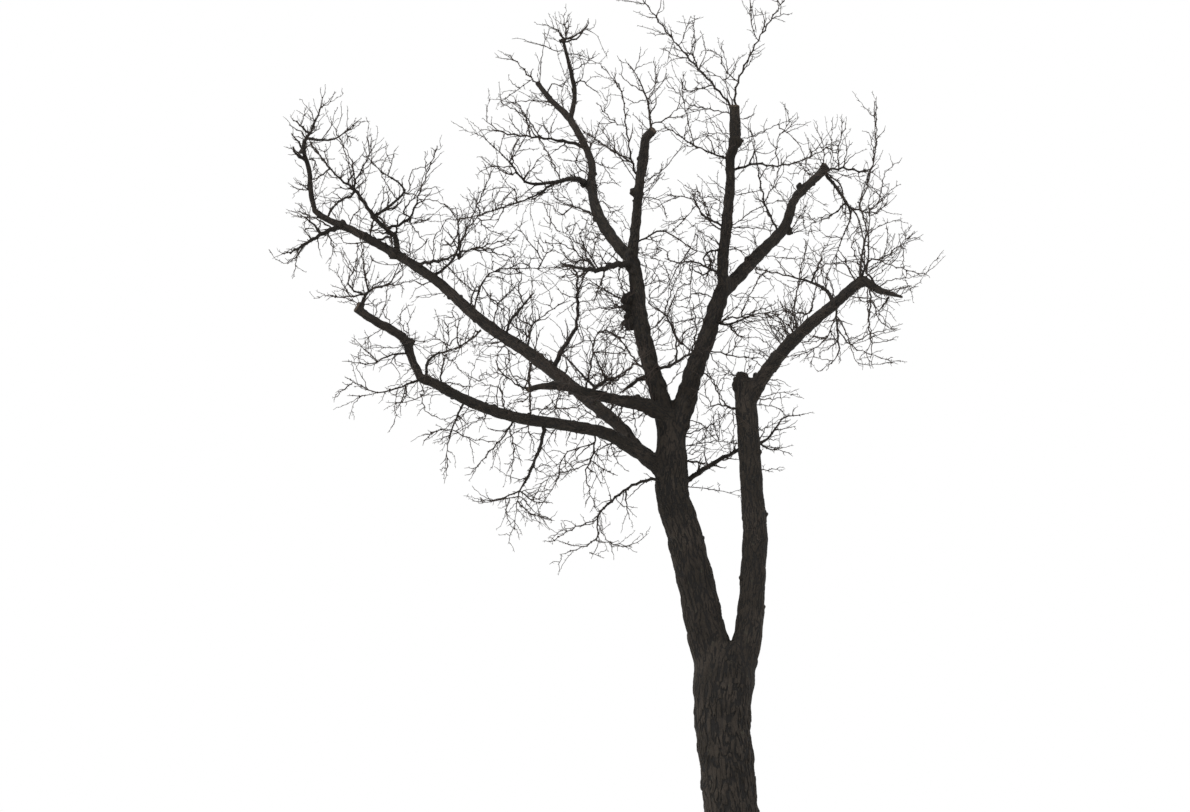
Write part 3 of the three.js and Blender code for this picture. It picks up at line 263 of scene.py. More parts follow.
# Branchlets between the masses, in centimetres but for the radius at the foot, which is in millimetres: each
# leaves the wood nearest to its first knee (side, up)
BRANCHLET_ROWS = """
# Long bough tip and the fork above it
4 -434,764 -441,766 -448,768
8 -434,742 -442,750 -447,756
4 -431,744 -424,742 -426,734
4 -430,715 -438,713 -448,717
3 -393,768 -388,761 -391,756
7 -369,669 -364,687 -354,692 -344,694 -337,705 -331,712
12 -367,662 -354,665 -341,668
6 -414,687 -402,700 -387,710
8 -330,679 -329,685 -336,689 -334,695 -324,707 -322,711
4 -323,711 -311,714 -300,716
4 -323,711 -315,719 -309,727
4 -321,703 -304,702 -292,696 -284,685
4 -329,713 -330,727 -324,734 -309,739 -302,757
4 -335,678 -323,679 -309,684
4 -384,714 -374,724 -376,737 -366,756
4 -387,712 -389,732 -394,747 -398,767
5 -349,652 -351,676 -359,678 -367,676
# Below the long bough
5 -367,661 -389,659 -396,661 -403,671
4 -381,659 -383,642 -389,626 -396,611
4 -376,659 -375,634 -371,620 -365,610
3 -406,659 -408,644 -411,632
3 -267,612 -286,630 -297,644
4 -280,657 -271,670 -265,681
5 -286,656 -291,659 -295,663
4 -267,653 -261,655 -253,661
4 -339,640 -336,630 -341,620 -347,614
3 -212,565 -222,574 -230,581
4 -259,602 -255,584 -259,572
4 -162,630 -150,634 -149,642 -157,645 -165,642
4 -162,577 -159,567 -156,559
4 -163,602 -175,608 -183,614
4 -162,612 -149,619 -136,612 -120,605
# Between the long bough and the left stem
7 -150,513 -134,521 -119,527 -105,538 -94,550
10 -89,528 -99,522 -107,516 -119,509
5 -117,506 -120,498 -124,488
6 -209,487 -209,512 -209,544
5 -209,542 -203,557 -199,572
5 -237,490 -237,509 -239,518
4 -199,490 -184,502 -176,509
4 -129,518 -135,530 -144,540
3 -129,518 -127,532 -121,542
3 -133,516 -145,524 -155,530
3 -127,516 -117,530 -113,542
3 -130,514 -139,505 -151,500
8 -99,536 -111,552 -121,564 -133,570
3 -117,602 -129,594 -143,596
3 -119,604 -133,612 -147,610
3 -115,598 -127,584 -139,580
3 -99,572 -87,576 -77,570
4 -105,592 -115,582 -121,572
4 -107,606 -117,616 -123,632
3 -106,612 -117,622 -134,626
# Low bough
4 -319,518 -314,508 -329,501 -343,499
4 -318,508 -314,492 -305,486 -295,482
5 -301,520 -296,536 -293,550
3 -387,518 -395,513 -403,510
4 -331,567 -339,580 -337,592 -327,598
4 -349,580 -357,590 -353,600
3 -363,590 -361,599 -349,602
4 -326,562 -317,560 -313,565
4 -239,494 -242,512 -235,530 -229,542
3 -179,482 -183,497 -178,506
4 -234,545 -232,530 -236,518
# Hanging twigs
4 -144,379 -159,376 -179,371 -189,360
4 -141,379 -129,359 -107,355
3 -149,350 -141,346 -135,344
4 -122,403 -118,397 -102,394
4 -220,405 -234,403 -251,400 -265,401
4 -229,401 -233,392 -231,382 -225,372
4 -215,412 -202,403 -187,399
4 -217,405 -207,392 -194,383 -185,382
3 -202,432 -189,426 -183,420
3 -133,466 -127,452 -121,440 -111,430
3 -155,468 -161,456 -169,446
3 -113,462 -121,450 -129,446
# Right side of the left stem and between the stems
4 -49,441 -39,439 -31,436
4 -47,415 -24,412 2,406
6 -3,493 -12,496 -25,517 -36,544
3 -23,514 -17,524 -9,530
3 -12,496 -17,482 -27,472
3 -49,450 -39,462 -27,466
3 -53,472 -41,478 -31,474
3 -3,462 -15,456 -23,446
4 19,501 33,503 47,506
4 20,497 32,496 43,491 47,481
3 24,505 43,510 62,504
4 26,432 35,433 45,435
3 21,472 35,478 51,482
# Between the two centre boughs
6 -34,552 -49,552 -56,559 -55,570 -41,578 -32,584
11 -57,557 -64,567 -73,586 -91,599
5 -75,586 -72,598 -66,615 -55,640 -41,672
8 -103,662 -91,666 -78,672 -66,667 -53,658 -42,651
9 -20,631 -32,635 -45,641 -62,640 -74,644
9 -21,655 -32,650 -35,640 -30,632
5 -30,634 -25,642 -27,652
4 -89,602 -79,592 -67,584
3 -98,642 -89,634 -79,622 -81,610
3 -99,650 -87,646 -77,652
3 -93,584 -83,590 -75,602
3 -91,562 -81,564 -71,572
3 -87,540 -93,552 -87,564
4 -27,557 -39,564 -49,562
# Upright bough
7 -11,675 -22,675 -35,687 -44,701
4 -11,769 -33,769 -53,759
5 -6,793 -33,795 -54,802 -57,823
4 -54,804 -63,812 -73,819
4 -31,795 -48,791 -65,784
4 -9,796 -14,822 -26,830 -39,838
4 -13,824 -5,832 0,847
4 -45,840 -44,864 -47,882
3 -58,859 -53,874 -48,888
3 -66,862 -69,852 -71,842
3 -71,870 -81,869 -91,871
3 -82,885 -91,887 -99,890
4 -3,768 18,768 33,776 53,784
4 40,776 52,768 62,756 70,732
4 16,740 15,752 27,749 42,756
3 2,784 12,786 17,798
4 -4,706 11,710 26,714
4 -5,678 16,693 40,702 58,703
5 -6,675 13,675 35,672
3 -12,712 -23,720 -30,726
3 -13,700 -23,704 -30,712
3 -15,688 -25,694 -33,696
3 -4,752 7,756 14,764
4 -12,662 1,652 13,634
3 11,902 15,890 18,872
# Slanting bough
5 121,699 125,714 130,730
4 68,742 75,752 87,757 103,764
4 86,734 85,757 75,780
3 93,734 93,757 94,786
7 89,731 101,719 104,705 104,691
5 104,691 111,689 117,694
5 120,697 127,682 126,662 123,642 123,621
5 125,692 137,697 143,712 147,730 164,744
4 131,686 141,694 149,710 162,719
4 128,631 130,662 128,690
4 128,667 142,677 163,684
3 36,660 45,655 54,650
3 69,666 64,687 69,699
3 61,712 51,722 44,726
4 98,647 112,633 122,621
4 95,639 117,643 135,644
4 50,566 57,603 64,633 68,661
# Right bough
4 87,612 84,624 83,638
5 129,610 130,582 133,559 120,543
4 131,569 121,562 112,559
4 131,568 145,571 157,573
4 127,630 145,642 164,658 176,670
4 164,657 165,640 163,624
4 151,606 146,599 142,591
4 133,602 145,583 156,572
4 159,612 169,616 179,615
4 99,584 109,565 118,540 137,538 155,540
4 51,564 44,580 31,590
4 53,568 51,584 43,598
3 47,560 33,568 25,580
3 57,574 58,590 65,602
3 43,554 29,558 17,566
3 63,582 73,594 73,606
3 37,546 23,550 13,558
3 73,586 87,580 97,584
# Left centre bough and its limbs
4 -84,772 -97,780 -106,789
4 -88,777 -90,802 -83,822 -85,842
4 -89,806 -78,819 -70,830
4 -90,804 -99,802 -110,799
4 -90,806 -86,799 -82,805
4 -99,721 -116,742 -129,762 -142,780
4 -107,740 -131,756 -155,772
4 -99,722 -76,733 -67,744 -55,758
4 -99,710 -79,702 -72,685
4 -139,702 -134,700 -127,691 -116,694
4 -142,684 -164,696 -178,687 -186,694
4 -164,695 -171,704 -183,706
5 -193,801 -208,803 -225,801 -239,797
3 -237,799 -239,810 -240,822
5 -201,767 -210,783 -223,793 -236,799
4 -191,769 -197,778 -204,780
4 -201,766 -193,753 -182,726
5 -227,739 -225,756 -219,765
5 -229,728 -244,737 -261,730
4 -199,820 -198,842 -195,859 -189,876
6 -166,820 -157,823 -149,816 -141,811
6 -191,810 -188,820 -180,818 -171,822
4 -187,806 -183,798 -175,804
4 -174,853 -184,853 -195,858 -215,864
4 -168,850 -157,848 -148,845 -140,850
4 -166,832 -154,840 -146,846
8 -174,862 -166,864 -159,867 -155,874 -150,881
5 -174,864 -178,869 -183,874 -190,876
4 -173,864 -171,874 -171,882
3 -153,875 -147,872 -141,868
4 -181,719 -191,712 -205,704
4 -151,640 -155,652 -165,662 -173,676
4 -149,634 -159,626 -171,620
4 -139,634 -135,648 -127,656
3 -155,640 -167,640 -179,650 -191,652
3 -137,662 -147,670 -159,674
3 -139,676 -149,678 -159,688
# Between the long bough and its fork
9 -280,644 -279,654 -280,662 -281,672 -280,682 -275,685 -268,684 -261,684
6 -282,669 -285,661 -288,657 -293,660 -295,663
5 -260,683 -252,682 -248,685 -243,689 -239,693
4 -259,680 -252,674 -248,672 -242,670 -237,667
6 -259,690 -262,696 -263,702 -260,708 -256,713
3 -263,701 -267,706 -270,709
4 -244,694 -244,702 -242,712
4 -244,695 -236,704 -229,710
3 -256,690 -251,698 -245,702
3 -265,656 -263,666
3 -260,655 -260,664
3 -256,657 -254,664 -252,667
6 -280,644 -274,649 -268,654 -261,654 -248,653 -239,656 -229,660 -222,666
5 -296,640 -291,635 -284,628 -280,623 -273,618 -269,614 -265,611
5 -244,631 -237,630 -231,628 -224,629 -218,630
4 -329,678 -323,671 -318,664 -313,660
4 -312,663 -316,657 -324,651 -334,645
4 -306,643 -306,652 -305,659 -306,665 -300,671 -295,678 -293,683 -289,685
5 -329,643 -329,652 -330,662 -331,669
4 -325,681 -319,682 -312,683 -308,685
3 -327,684 -319,685 -310,689
4 -309,620 -315,618 -321,619 -325,622 -332,621 -339,619
4 -298,700 -291,696 -286,690 -282,683
3 -248,649 -247,642 -246,634
3 -245,631 -249,633 -254,636 -261,640
3 -244,630 -239,633 -234,638 -228,642
4 -239,601 -232,607 -227,612 -224,617 -219,622
3 -220,629 -223,634 -226,638 -228,643
3 -223,647 -227,652 -231,656
3 -243,627 -239,624 -232,620 -227,617 -225,614
# Left of the outer limb
4 -218,631 -222,636 -224,642 -223,647
6 -216,598 -218,605 -220,611 -221,616 -219,621 -217,627 -218,631
12 -234,570 -228,583 -222,588 -216,597 -210,604 -205,609
4 -208,582 -207,594 -208,602 -207,614 -208,624 -208,633
3 -199,582 -200,587 -202,596 -205,599
3 -240,601 -231,608 -225,614 -219,618 -209,623
5 -202,634 -198,640 -197,643 -201,647 -203,652 -208,658 -212,663 -216,669 -219,674 -223,678
3 -219,674 -217,682
3 -209,636 -214,638 -219,642
3 -209,635 -209,647
4 -197,642 -194,647 -188,652 -186,656 -187,662 -184,667
3 -195,650 -198,657 -202,664 -204,670
5 -155,642 -160,647 -164,653 -167,661 -169,666 -173,669 -179,670
4 -180,671 -185,676 -187,680 -190,686 -193,692 -195,700
3 -168,666 -165,672 -164,677
3 -173,669 -171,676 -170,680
3 -188,677 -192,681 -196,684
3 -188,675 -194,676 -201,678
4 -163,652 -169,654 -173,656 -177,659 -183,659 -191,659 -196,661 -202,666
10 -144,633 -146,637 -151,641 -156,642 -162,641 -165,637 -165,633 -162,629
5 -161,641 -168,641 -174,639 -178,636
6 -162,630 -166,634 -171,636 -179,635 -190,633
5 -162,611 -166,614
4 -162,602 -166,598 -168,594 -164,590
5 -118,603 -128,609 -136,614 -143,618 -149,622 -156,624 -161,627
3 -159,605 -154,611 -150,615
3 -159,600 -149,602 -143,600
4 -117,596 -129,593 -139,595 -146,592 -157,592
3 -154,643 -153,654 -154,664 -153,680
4 -138,670 -142,666 -147,662 -153,664
3 -153,666 -149,671 -144,676
3 -156,642 -149,644 -143,647
3 -188,596 -188,604 -190,611 -196,619 -197,627
3 -122,640 -126,646 -130,650
4 -162,627 -171,627 -181,626
3 -169,641 -173,646 -177,651 -180,657
# Right side of the left stem and between the stems
4 -71,644 -72,650 -76,654 -80,655 -84,654
8 -30,632 -33,628 -39,629 -44,632 -47,634
5 -30,634 -28,640 -30,646 -27,651
4 -49,640 -49,634 -47,630 -49,620 -48,610 -49,600 -48,587
5 -25,608 -34,608 -42,609 -47,608 -52,604 -59,602 -66,602
4 -70,591 -68,599 -64,606 -57,618 -51,617 -47,620
5 -88,573 -83,577 -79,581 -75,585
3 -90,604 -82,605 -76,609 -73,614
4 -91,604 -87,610 -83,614 -76,618
3 -98,655 -95,646 -93,636 -93,625 -94,614
3 -94,615 -89,618 -86,621 -83,626
3 -87,619 -81,621 -75,622 -71,619
3 -30,598 -37,596 -44,594 -53,595 -61,596 -69,598
4 -35,584 -42,585 -49,582 -56,581 -68,579
4 -58,561 -52,565 -46,568 -40,573
3 -62,553 -67,555 -67,567
3 -83,557 -74,558 -65,561
# Right of the centre boughs
5 -12,655 -5,654 2,651 9,647
3 -8,675 -6,669 3,666 11,663 18,658
5 16,633 19,629 23,627 27,625
7 -17,579 -10,584 3,585 14,586 26,585 38,585
5 2,585 11,589 19,592 28,595 38,599
8 -9,577 -6,572 -2,568 3,565 11,564
5 -22,567 -17,570 -9,575
# In the corner of the low bough and the left stem
7 -141,570 -135,571 -129,570 -124,567 -120,565 -116,563 -114,569 -111,576
3 -116,563 -111,562 -106,562 -101,562
5 -114,552 -118,554 -123,556 -128,558 -134,562 -137,567
4 -114,553 -110,557 -102,560
4 -114,552 -118,549 -121,545 -121,538 -122,530
5 -145,550 -136,550 -128,549 -120,549 -114,552
9 -127,520 -121,523 -115,528 -109,534 -105,538 -98,536
10 -147,514 -139,519 -132,521 -128,522
4 -129,521 -133,527 -139,532 -145,536 -152,539
3 -129,522 -135,525 -143,526 -151,527
3 -129,522 -132,532 -135,540 -137,550
3 -128,522 -128,532 -127,542 -125,550
3 -128,522 -123,530 -116,536
4 -128,521 -133,517 -139,512 -145,509
3 -128,521 -130,515 -133,510 -137,506
3 -128,521 -126,514 -124,507
3 -128,521 -122,516 -116,510
3 -128,521 -121,519 -113,518
14 -93,529 -99,524 -106,519 -113,514 -117,509
5 -174,555 -167,555 -162,557 -155,561
4 -155,561 -157,569 -159,577 -158,587
3 -155,561 -147,561 -139,562
7 -173,528 -172,535 -173,541 -176,546 -181,550
4 -160,483 -154,487 -148,491
4 -168,483 -173,488 -179,492 -187,498
4 -160,495 -168,494 -176,494 -184,495
7 -121,485 -118,492 -116,499
13 -130,490 -127,495 -124,501
4 -115,481 -109,482 -102,484 -93,489
5 -107,496 -106,489 -104,482 -103,474 -102,468
3 -93,489 -96,482 -99,476
4 -169,471 -171,465 -173,456
# Under the long bough
9 -267,599 -268,605 -265,611 -262,617
6 -242,573 -245,580 -244,588 -241,596 -244,601 -248,604 -249,612
5 -234,572 -231,580 -230,589 -231,594 -236,597 -240,599
5 -212,557 -212,564 -214,570 -219,573 -224,575 -228,579
6 -212,565 -209,571 -207,577 -203,582
12 -209,545 -209,534 -210,522 -209,514 -209,502 -209,489
5 -280,556 -282,564 -282,572 -280,580 -281,587 -285,591
3 -280,583 -277,585 -272,589
3 -280,582 -285,585 -287,590 -284,595
4 -282,576 -286,576 -289,575
3 -284,585 -289,584 -295,585
3 -282,565 -278,563 -275,561
4 -282,565 -286,561 -289,557
4 -290,556 -295,559 -299,562 -304,564 -304,571
3 -303,564 -309,562 -315,560
8 -259,571 -264,566 -269,562 -277,557 -287,553 -296,550 -306,548 -313,544
6 -261,571 -265,569 -268,564
4 -298,548 -303,545 -307,541 -312,536
8 -300,520 -298,529 -296,538 -294,548
4 -280,553 -282,548 -285,542 -289,538 -292,534
3 -286,540 -282,536 -279,531
4 -244,564 -250,561 -256,558 -262,557 -268,559
3 -264,558 -264,552 -266,549
3 -234,558 -242,559 -249,559 -254,560
3 -236,555 -244,556 -254,556
5 -235,558 -231,552 -230,545 -230,539 -235,534 -239,531
4 -235,557 -239,551 -242,544 -242,536 -241,528 -244,524 -251,525 -257,522
5 -210,520 -216,523 -222,525 -228,527 -229,534 -230,542
4 -258,520 -261,522 -266,524 -272,527 -275,531
3 -257,520 -260,523 -259,526 -252,528 -253,532
3 -252,526 -247,528 -242,529
5 -237,497 -237,506 -239,514 -246,516 -254,518 -260,521
4 -298,521 -289,519 -281,518 -272,515 -264,517 -258,519
3 -271,515 -275,514 -278,510
3 -250,516 -250,508 -253,501
3 -236,516 -232,522 -229,527
3 -226,524 -219,520 -214,524
# Right bough and its head
9 123,623 122,636 123,646 125,656 128,667 127,677 124,688 121,698
5 121,698 125,707 129,717 132,730 136,744 138,760 137,772 136,787 136,802
8 140,615 135,622 130,627 127,631 129,640 130,654 130,667 131,682 130,690
4 130,690 136,694 143,702 148,709 151,719
3 131,692 130,702 134,708 141,714
6 119,622 113,628 109,634 108,641 104,647 99,654
4 95,638 102,639 110,641 121,644
6 51,577 54,590 56,602 59,614 61,627 63,640 67,651 69,662
6 72,590 74,600 76,610 79,622 82,631 84,637
3 84,637 80,640 76,644 74,654
3 84,637 79,632 72,627
3 84,637 88,639 92,639
5 64,624 68,626 73,627
3 129,634 141,641 153,648 166,657
3 130,627 141,634 154,645 169,659
3 133,624 145,632 158,647
4 141,616 148,621 157,623 171,625 187,627
4 132,601 123,601 114,602
8 130,615 132,605 131,592 130,580 131,569 133,557 132,544
5 134,610 140,605 149,604
8 149,605 146,599 142,593 137,590
4 137,591 140,583 146,577 154,572
5 133,601 137,594 137,587 133,585
4 131,569 124,564 118,561 112,559
3 132,564 141,568 151,570 161,573
5 99,586 104,577 107,569 111,560 115,552
3 99,564 92,562 85,561
3 99,561 93,564 83,564 75,567
8 61,572 57,582 52,590 47,595
6 72,589 64,588 56,590 47,591 37,587 28,586
5 51,566 45,574 40,584 33,594 27,602
4 64,578 60,583 66,586 69,590
4 50,564 42,569 34,574 28,578
4 50,568 46,576 45,584 49,592
3 47,562 39,566 31,558
4 63,559 72,563 77,569 79,577
3 74,565 84,564 91,562
5 2,585 5,594 9,604 13,611 18,619 20,625 25,630
3 -6,607 2,605 13,605 29,604
4 3,584 11,581 18,581 25,577
3 2,581 9,576 16,575
3 -1,572 6,574 13,573
3 -5,556 -3,565 0,571
# Long bough tip and its fork
13 -435,743 -440,746 -445,750 -447,756
9 -435,755 -441,761 -445,765 -449,770
6 -433,766 -438,771 -444,774 -450,778
5 -430,745 -425,743 -424,739 -427,736 -424,734 -429,731
3 -433,762 -432,754 -430,745
8 -410,734 -417,743 -423,752 -429,760
4 -412,739 -414,748 -419,754 -425,761
3 -414,750 -413,754 -414,759
7 -410,734 -416,729 -422,725 -427,720
3 -413,730 -407,726 -401,723
3 -403,725 -397,727 -391,730 -386,734
8 -384,712 -385,722 -386,732
6 -383,714 -377,719 -372,723
11 -385,710 -390,706 -396,704 -401,701 -407,695 -411,691 -412,685
4 -398,703 -402,707 -406,710
3 -399,701 -406,701 -413,700 -419,696
6 -366,685 -368,678 -368,670
8 -365,688 -357,692 -349,694 -344,696 -341,701
4 -360,691 -358,698 -356,704 -356,711 -357,717
4 -342,703 -347,709 -351,715 -354,721 -358,728 -358,734 -355,741 -351,748
8 -363,686 -358,685 -355,680 -352,674
10 -343,670 -342,678 -341,688
6 -368,672 -362,673 -355,675
5 -389,679 -388,685 -384,689 -380,693 -376,695
4 -386,687 -378,685 -369,682
7 -409,674 -415,679 -421,683 -429,686 -438,690 -448,691
3 -420,681 -419,677 -421,672
3 -436,680 -435,675 -431,672
5 -434,673 -428,674 -421,670
4 -431,715 -437,713 -443,714 -449,717
3 -431,716 -436,718 -444,721
3 -433,725 -436,731 -439,737
3 -425,706 -421,709 -418,712
4 -389,772 -386,778 -385,785
5 -393,768 -392,763 -393,758
4 -392,768 -388,766 -384,764
4 -424,772 -426,778 -427,784
# Outer limb
4 -172,756 -173,752 -176,750
5 -190,769 -193,774 -196,779
3 -189,770 -184,773 -178,775
6 -202,766 -207,772 -211,778
5 -179,724 -183,733 -187,742 -191,750 -196,756 -201,764
4 -228,744 -227,754 -223,761 -220,765
7 -225,728 -232,729 -239,733 -246,739
4 -216,725 -211,731 -205,735 -202,742 -197,747 -191,748
3 -213,723 -209,725 -203,730
4 -187,713 -186,708 -179,701 -172,698 -166,696
6 -143,686 -151,691 -159,694 -165,697 -170,693 -177,688 -182,691 -187,697 -194,702
3 -126,691 -129,685 -124,682 -122,679
5 -151,729 -158,733 -162,738 -163,744 -161,750 -156,755
4 -151,740 -156,742 -166,742 -175,743
5 -148,754 -145,763 -142,772 -140,780
5 -143,765 -150,769 -156,771
4 -142,740 -136,737 -131,730 -126,723 -119,716
3 -136,737 -129,735 -121,734
3 -136,737 -137,745
3 -142,720 -129,720 -118,720
3 -141,716 -137,710 -133,705
4 -222,701 -224,714 -229,709 -236,702
3 -220,700 -221,695 -223,689
# Between the stems
4 -77,653 -81,654 -84,655 -80,659 -78,662
3 -88,643 -86,647 -82,649 -78,651
3 -88,643 -82,643 -77,641 -74,637 -73,632 -69,627
4 -69,621 -70,625 -73,627 -75,628
3 -70,625 -71,629 -72,631
5 -48,655 -53,648 -57,642 -61,636 -65,629 -68,622 -70,615 -71,606
3 -62,639 -66,634 -68,628 -69,623
4 -42,650 -47,648 -52,645 -57,642
5 -45,636 -47,630 -47,624 -48,618
6 -30,632 -31,627
3 -37,627 -33,621 -28,613
3 -39,627 -38,621 -33,615
7 -28,634 -28,640 -29,645 -31,648
5 -29,640 -26,640 -27,645 -30,645
5 -35,638 -31,638 -28,637
3 -80,640 -82,636 -85,630 -86,622
3 -86,662 -91,657 -94,651
3 -89,666 -86,661 -80,662 -75,658
3 -54,640 -57,631 -58,619
4 -74,582 -67,579 -60,580 -53,582 -47,584
3 -15,586 -9,591 -2,596 5,599
5 -41,668 -42,660 -42,651
3 -37,670 -34,659 -33,650
6 -76,584 -80,581 -83,576
# Between the low bough and the front bough, and below
4 -219,516 -215,509 -211,505
5 -210,505 -214,501 -221,500 -230,499
3 -227,492 -225,496 -220,500
6 -182,493 -183,498 -181,505 -179,511
5 -206,493 -198,493 -189,493 -182,494 -173,493 -163,495
3 -200,490 -194,487 -187,490 -183,495
4 -183,493 -184,488 -179,485
3 -179,504 -175,507 -170,506 -169,510
3 -162,499 -160,493 -163,486
5 -141,478 -138,481 -135,477
4 -213,477 -210,469 -207,464 -205,458 -206,450
3 -212,471 -215,465 -219,459
3 -166,470 -163,467 -163,463 -167,462
6 -129,459 -135,455 -141,452 -145,448
5 -145,461 -151,455 -157,450 -162,444 -168,439 -173,433
4 -145,447 -150,443 -157,440 -164,438 -170,435
4 -144,449 -140,444 -136,438 -132,432
4 -128,458 -131,451 -132,444 -128,440
3 -128,456 -124,452 -118,449
3 -183,472 -184,464 -183,457
3 -198,455 -193,449 -188,444 -182,446
3 -202,432 -198,438 -192,437 -186,433
# At the right stem's head
8 -3,493 -10,495 -16,497 -24,497 -32,494
6 -34,535 -28,524 -23,516 -18,505 -14,498
4 -27,498 -31,503 -34,510 -33,517 -35,524
5 -54,466 -43,471 -30,476 -21,482 -10,490
4 -50,486 -40,480 -30,469 -22,461 -14,453
4 -52,456 -43,458 -30,460 -21,461 -11,460 -1,458
3 -54,471 -43,463 -33,452
3 -21,489 -18,474 -16,461
4 -6,492 -5,474 -6,458
3 -29,480 -27,471 -29,461
8 -52,443 -43,440 -35,438 -30,437
3 -49,447 -41,452 -33,458
3 -21,461 -24,474 -27,487
3 -21,461 -19,475 -21,488
"""

# Pieces: the limbs and masses that each stands for
BARK_PIECES = {
    "bark_trunk": ["trunk"],
    "bark_left_stem": ["left_stem"],
    "bark_right_stem": ["right_stem", "right_bough"],
    "bark_left_boughs": ["long_bough", "long_bough_tip", "low_bough", "low_bough_end", "front_bough"],
    "bark_high_boughs": ["right_centre_bough", "upright_bough", "slanting_bough", "left_centre_bough",
                         "outer_limb", "outer_limb_top", "inner_limb"],
}
TWIG_PIECES = {
    "twigs_far_left": ["tip_twigs", "edge_twigs", "fork_twigs"],
    "twigs_left": ["left_mid_twigs", "left_high_twigs", "left_inner_twigs", "middle_twigs",
                   "rising_twigs", "inner_twigs"],
    "twigs_low": ["low_tip_twigs", "low_left_twigs", "low_under_twigs", "low_middle_twigs",
                  "front_twigs", "front_end_twigs"],
    "twigs_hanging": ["hanging_near_twigs", "hanging_middle_twigs", "hanging_left_twigs",
                      "hanging_end_twigs", "hanging_close_twigs"],
    "twigs_centre": ["right_low_twigs", "centre_twigs", "curled_twigs", "short_side_twigs"],
    "twigs_high_left": ["outer_end_twigs", "outer_top_twigs", "outer_side_twigs", "side_twigs",
                        "inner_head_twigs", "inner_side_twigs"],
    "twigs_high": ["upright_left_twigs", "high_left_twigs", "upright_right_twigs", "top_left_twigs",
                   "top_twigs", "slant_twigs"],
    "twigs_right": ["slant_end_twigs", "slant_low_twigs", "right_high_twigs", "right_hanging_twigs",
                    "right_end_twigs"],
}
LIMB_TWIGS = {
    "trunk": "twigs_centre", "left_stem": "twigs_centre", "right_stem": "twigs_centre",
    "right_bough": "twigs_right", "right_centre_bough": "twigs_centre", "upright_bough": "twigs_high",
    "slanting_bough": "twigs_high", "left_centre_bough": "twigs_centre",
    "outer_limb": "twigs_high_left", "outer_limb_top": "twigs_high_left",
    "inner_limb": "twigs_high_left", "long_bough": "twigs_left", "long_bough_tip": "twigs_far_left",
    "low_bough": "twigs_hanging", "low_bough_end": "twigs_low", "front_bough": "twigs_low",
}

# Rule of the side twigs, as the solids have it, and of the whips on the boughs, the twiglets and the
# spurs that go on from it: spacing along a path, turn from one to the next and spread from the path in
# radians, length as a share of the reach, and radius at the foot as a share of the path's, with an extra
SEED = 7300
LIMB_SEED, SKIN_SEED, COLLAR_SEED, TWIG_SEED = SEED + 11, SEED + 40, SEED + 300, SEED + 500
SIDE_RULE = {
    "spacing": 215, "varies": (0.7, 1.3), "first": 0.16, "first_least": 170, "turn": 2.4,
    "turn_varies": 1.2, "spread": (0.7, 1.25), "length": (0.45, 1), "foot": 0.62, "foot_extra": 2,
}
WHIP_RULE = {
    "spacing": 88, "varies": (0.4, 1.6), "first": 0.1, "first_least": 90, "turn": 2.4,
    "turn_varies": 1.6, "spread": (0.6, 1.35), "length": (0.12, 1), "foot": 0.02, "foot_extra": 2.6,
}
TWIGLET_RULE = {
    "spacing": 100, "varies": (0.5, 1.5), "first": 0.08, "first_least": 35, "turn": 2.5,
    "turn_varies": 1.4, "spread": (0.45, 1.15), "length": (0.14, 1), "foot": 0.3, "foot_extra": 2.2,
}
SPUR_RULE = {
    "spacing": 56, "varies": (0.4, 1.6), "first": 0.05, "first_least": 14, "turn": 2.5,
    "turn_varies": 1.6, "spread": (0.7, 1.4), "length": (0.35, 1), "foot": 0.2, "foot_extra": 2.4,
}
WHIP_REACH, TWIGLET_REACH, SPUR_REACH = 620, 290, 15
WHIP_FAVOUR, TWIGLET_FAVOUR = 1.5, 1.7
LIFT, WHIP_LIFT = 0.3, {"low_bough": -0.3, "low_bough_end": -0.1}
ARM_FOOT = 0.8
TWIG_END_RADIUS, TWIG_CLEARANCE, TWIG_ROOT_SHARE = 4, 9, 0.4
FINE_END_RADIUS, FINE_RADIUS, FINE_CLEARANCE, FINE_ROOT_SHARE = 2.1, 3, 2, 0.35
AT_ONCE = 2000

# Room for the finer twigs: past the solids' box, and round the larger wood as the eye sees it, in cells;
# near the thin places only a share of them is kept
BOX_SPARE = 25
REACH_CELL, REACH_CELLS_ROUND = 42, 2
THIN_PLACES = np.array([
    (-1190, 7220), (410, 7220), (1210, 6420), (1610, 6420), (-790, 8020), (-1990, 8420), (-3990, 7620),
    (1210, 5620), (-1590, 4420), (-1190, 4020), (-1590, 3620), (-2390, 5220), (60, 7600), (-3080, 7350),
    (-2250, 8350), (450, 7560),
])
THIN_REACH, THIN_SHARE = 240, 0.4

# Thickness of the stems, arms and side twigs as shares of the solids', at the foot and at the end
STEM_ROOT, STEM_ROOT_GIRTH = 38, 1.2
END_GIRTH = FINE_END_RADIUS / TWIG_END_RADIUS
SIDE_GIRTH = 0.7
GIRTH = 0.6
GIRTHS = {
    "tip_twigs": 1.6, "edge_twigs": 1.25, "fork_twigs": 0.85, "left_mid_twigs": 1.3, "left_high_twigs": 0.85,
    "rising_twigs": 1.5, "front_twigs": 1.3, "low_tip_twigs": 0.85, "low_middle_twigs": 0.85,
    "hanging_middle_twigs": 1.2, "right_low_twigs": 0.95, "centre_twigs": 1.0, "curled_twigs": 0.9,
    "right_high_twigs": 1.4, "slant_low_twigs": 0.85, "outer_end_twigs": 0.4, "outer_top_twigs": 0.9,
    "outer_side_twigs": 1.05, "side_twigs": 0.9, "short_side_twigs": 1.25,
}
END_GIRTHS = {"rising_twigs": 2.2, "short_side_twigs": 2.0}
ARM_GIRTH, ARM_GIRTHS = 0.8, {"short_side_twigs": 0.5}
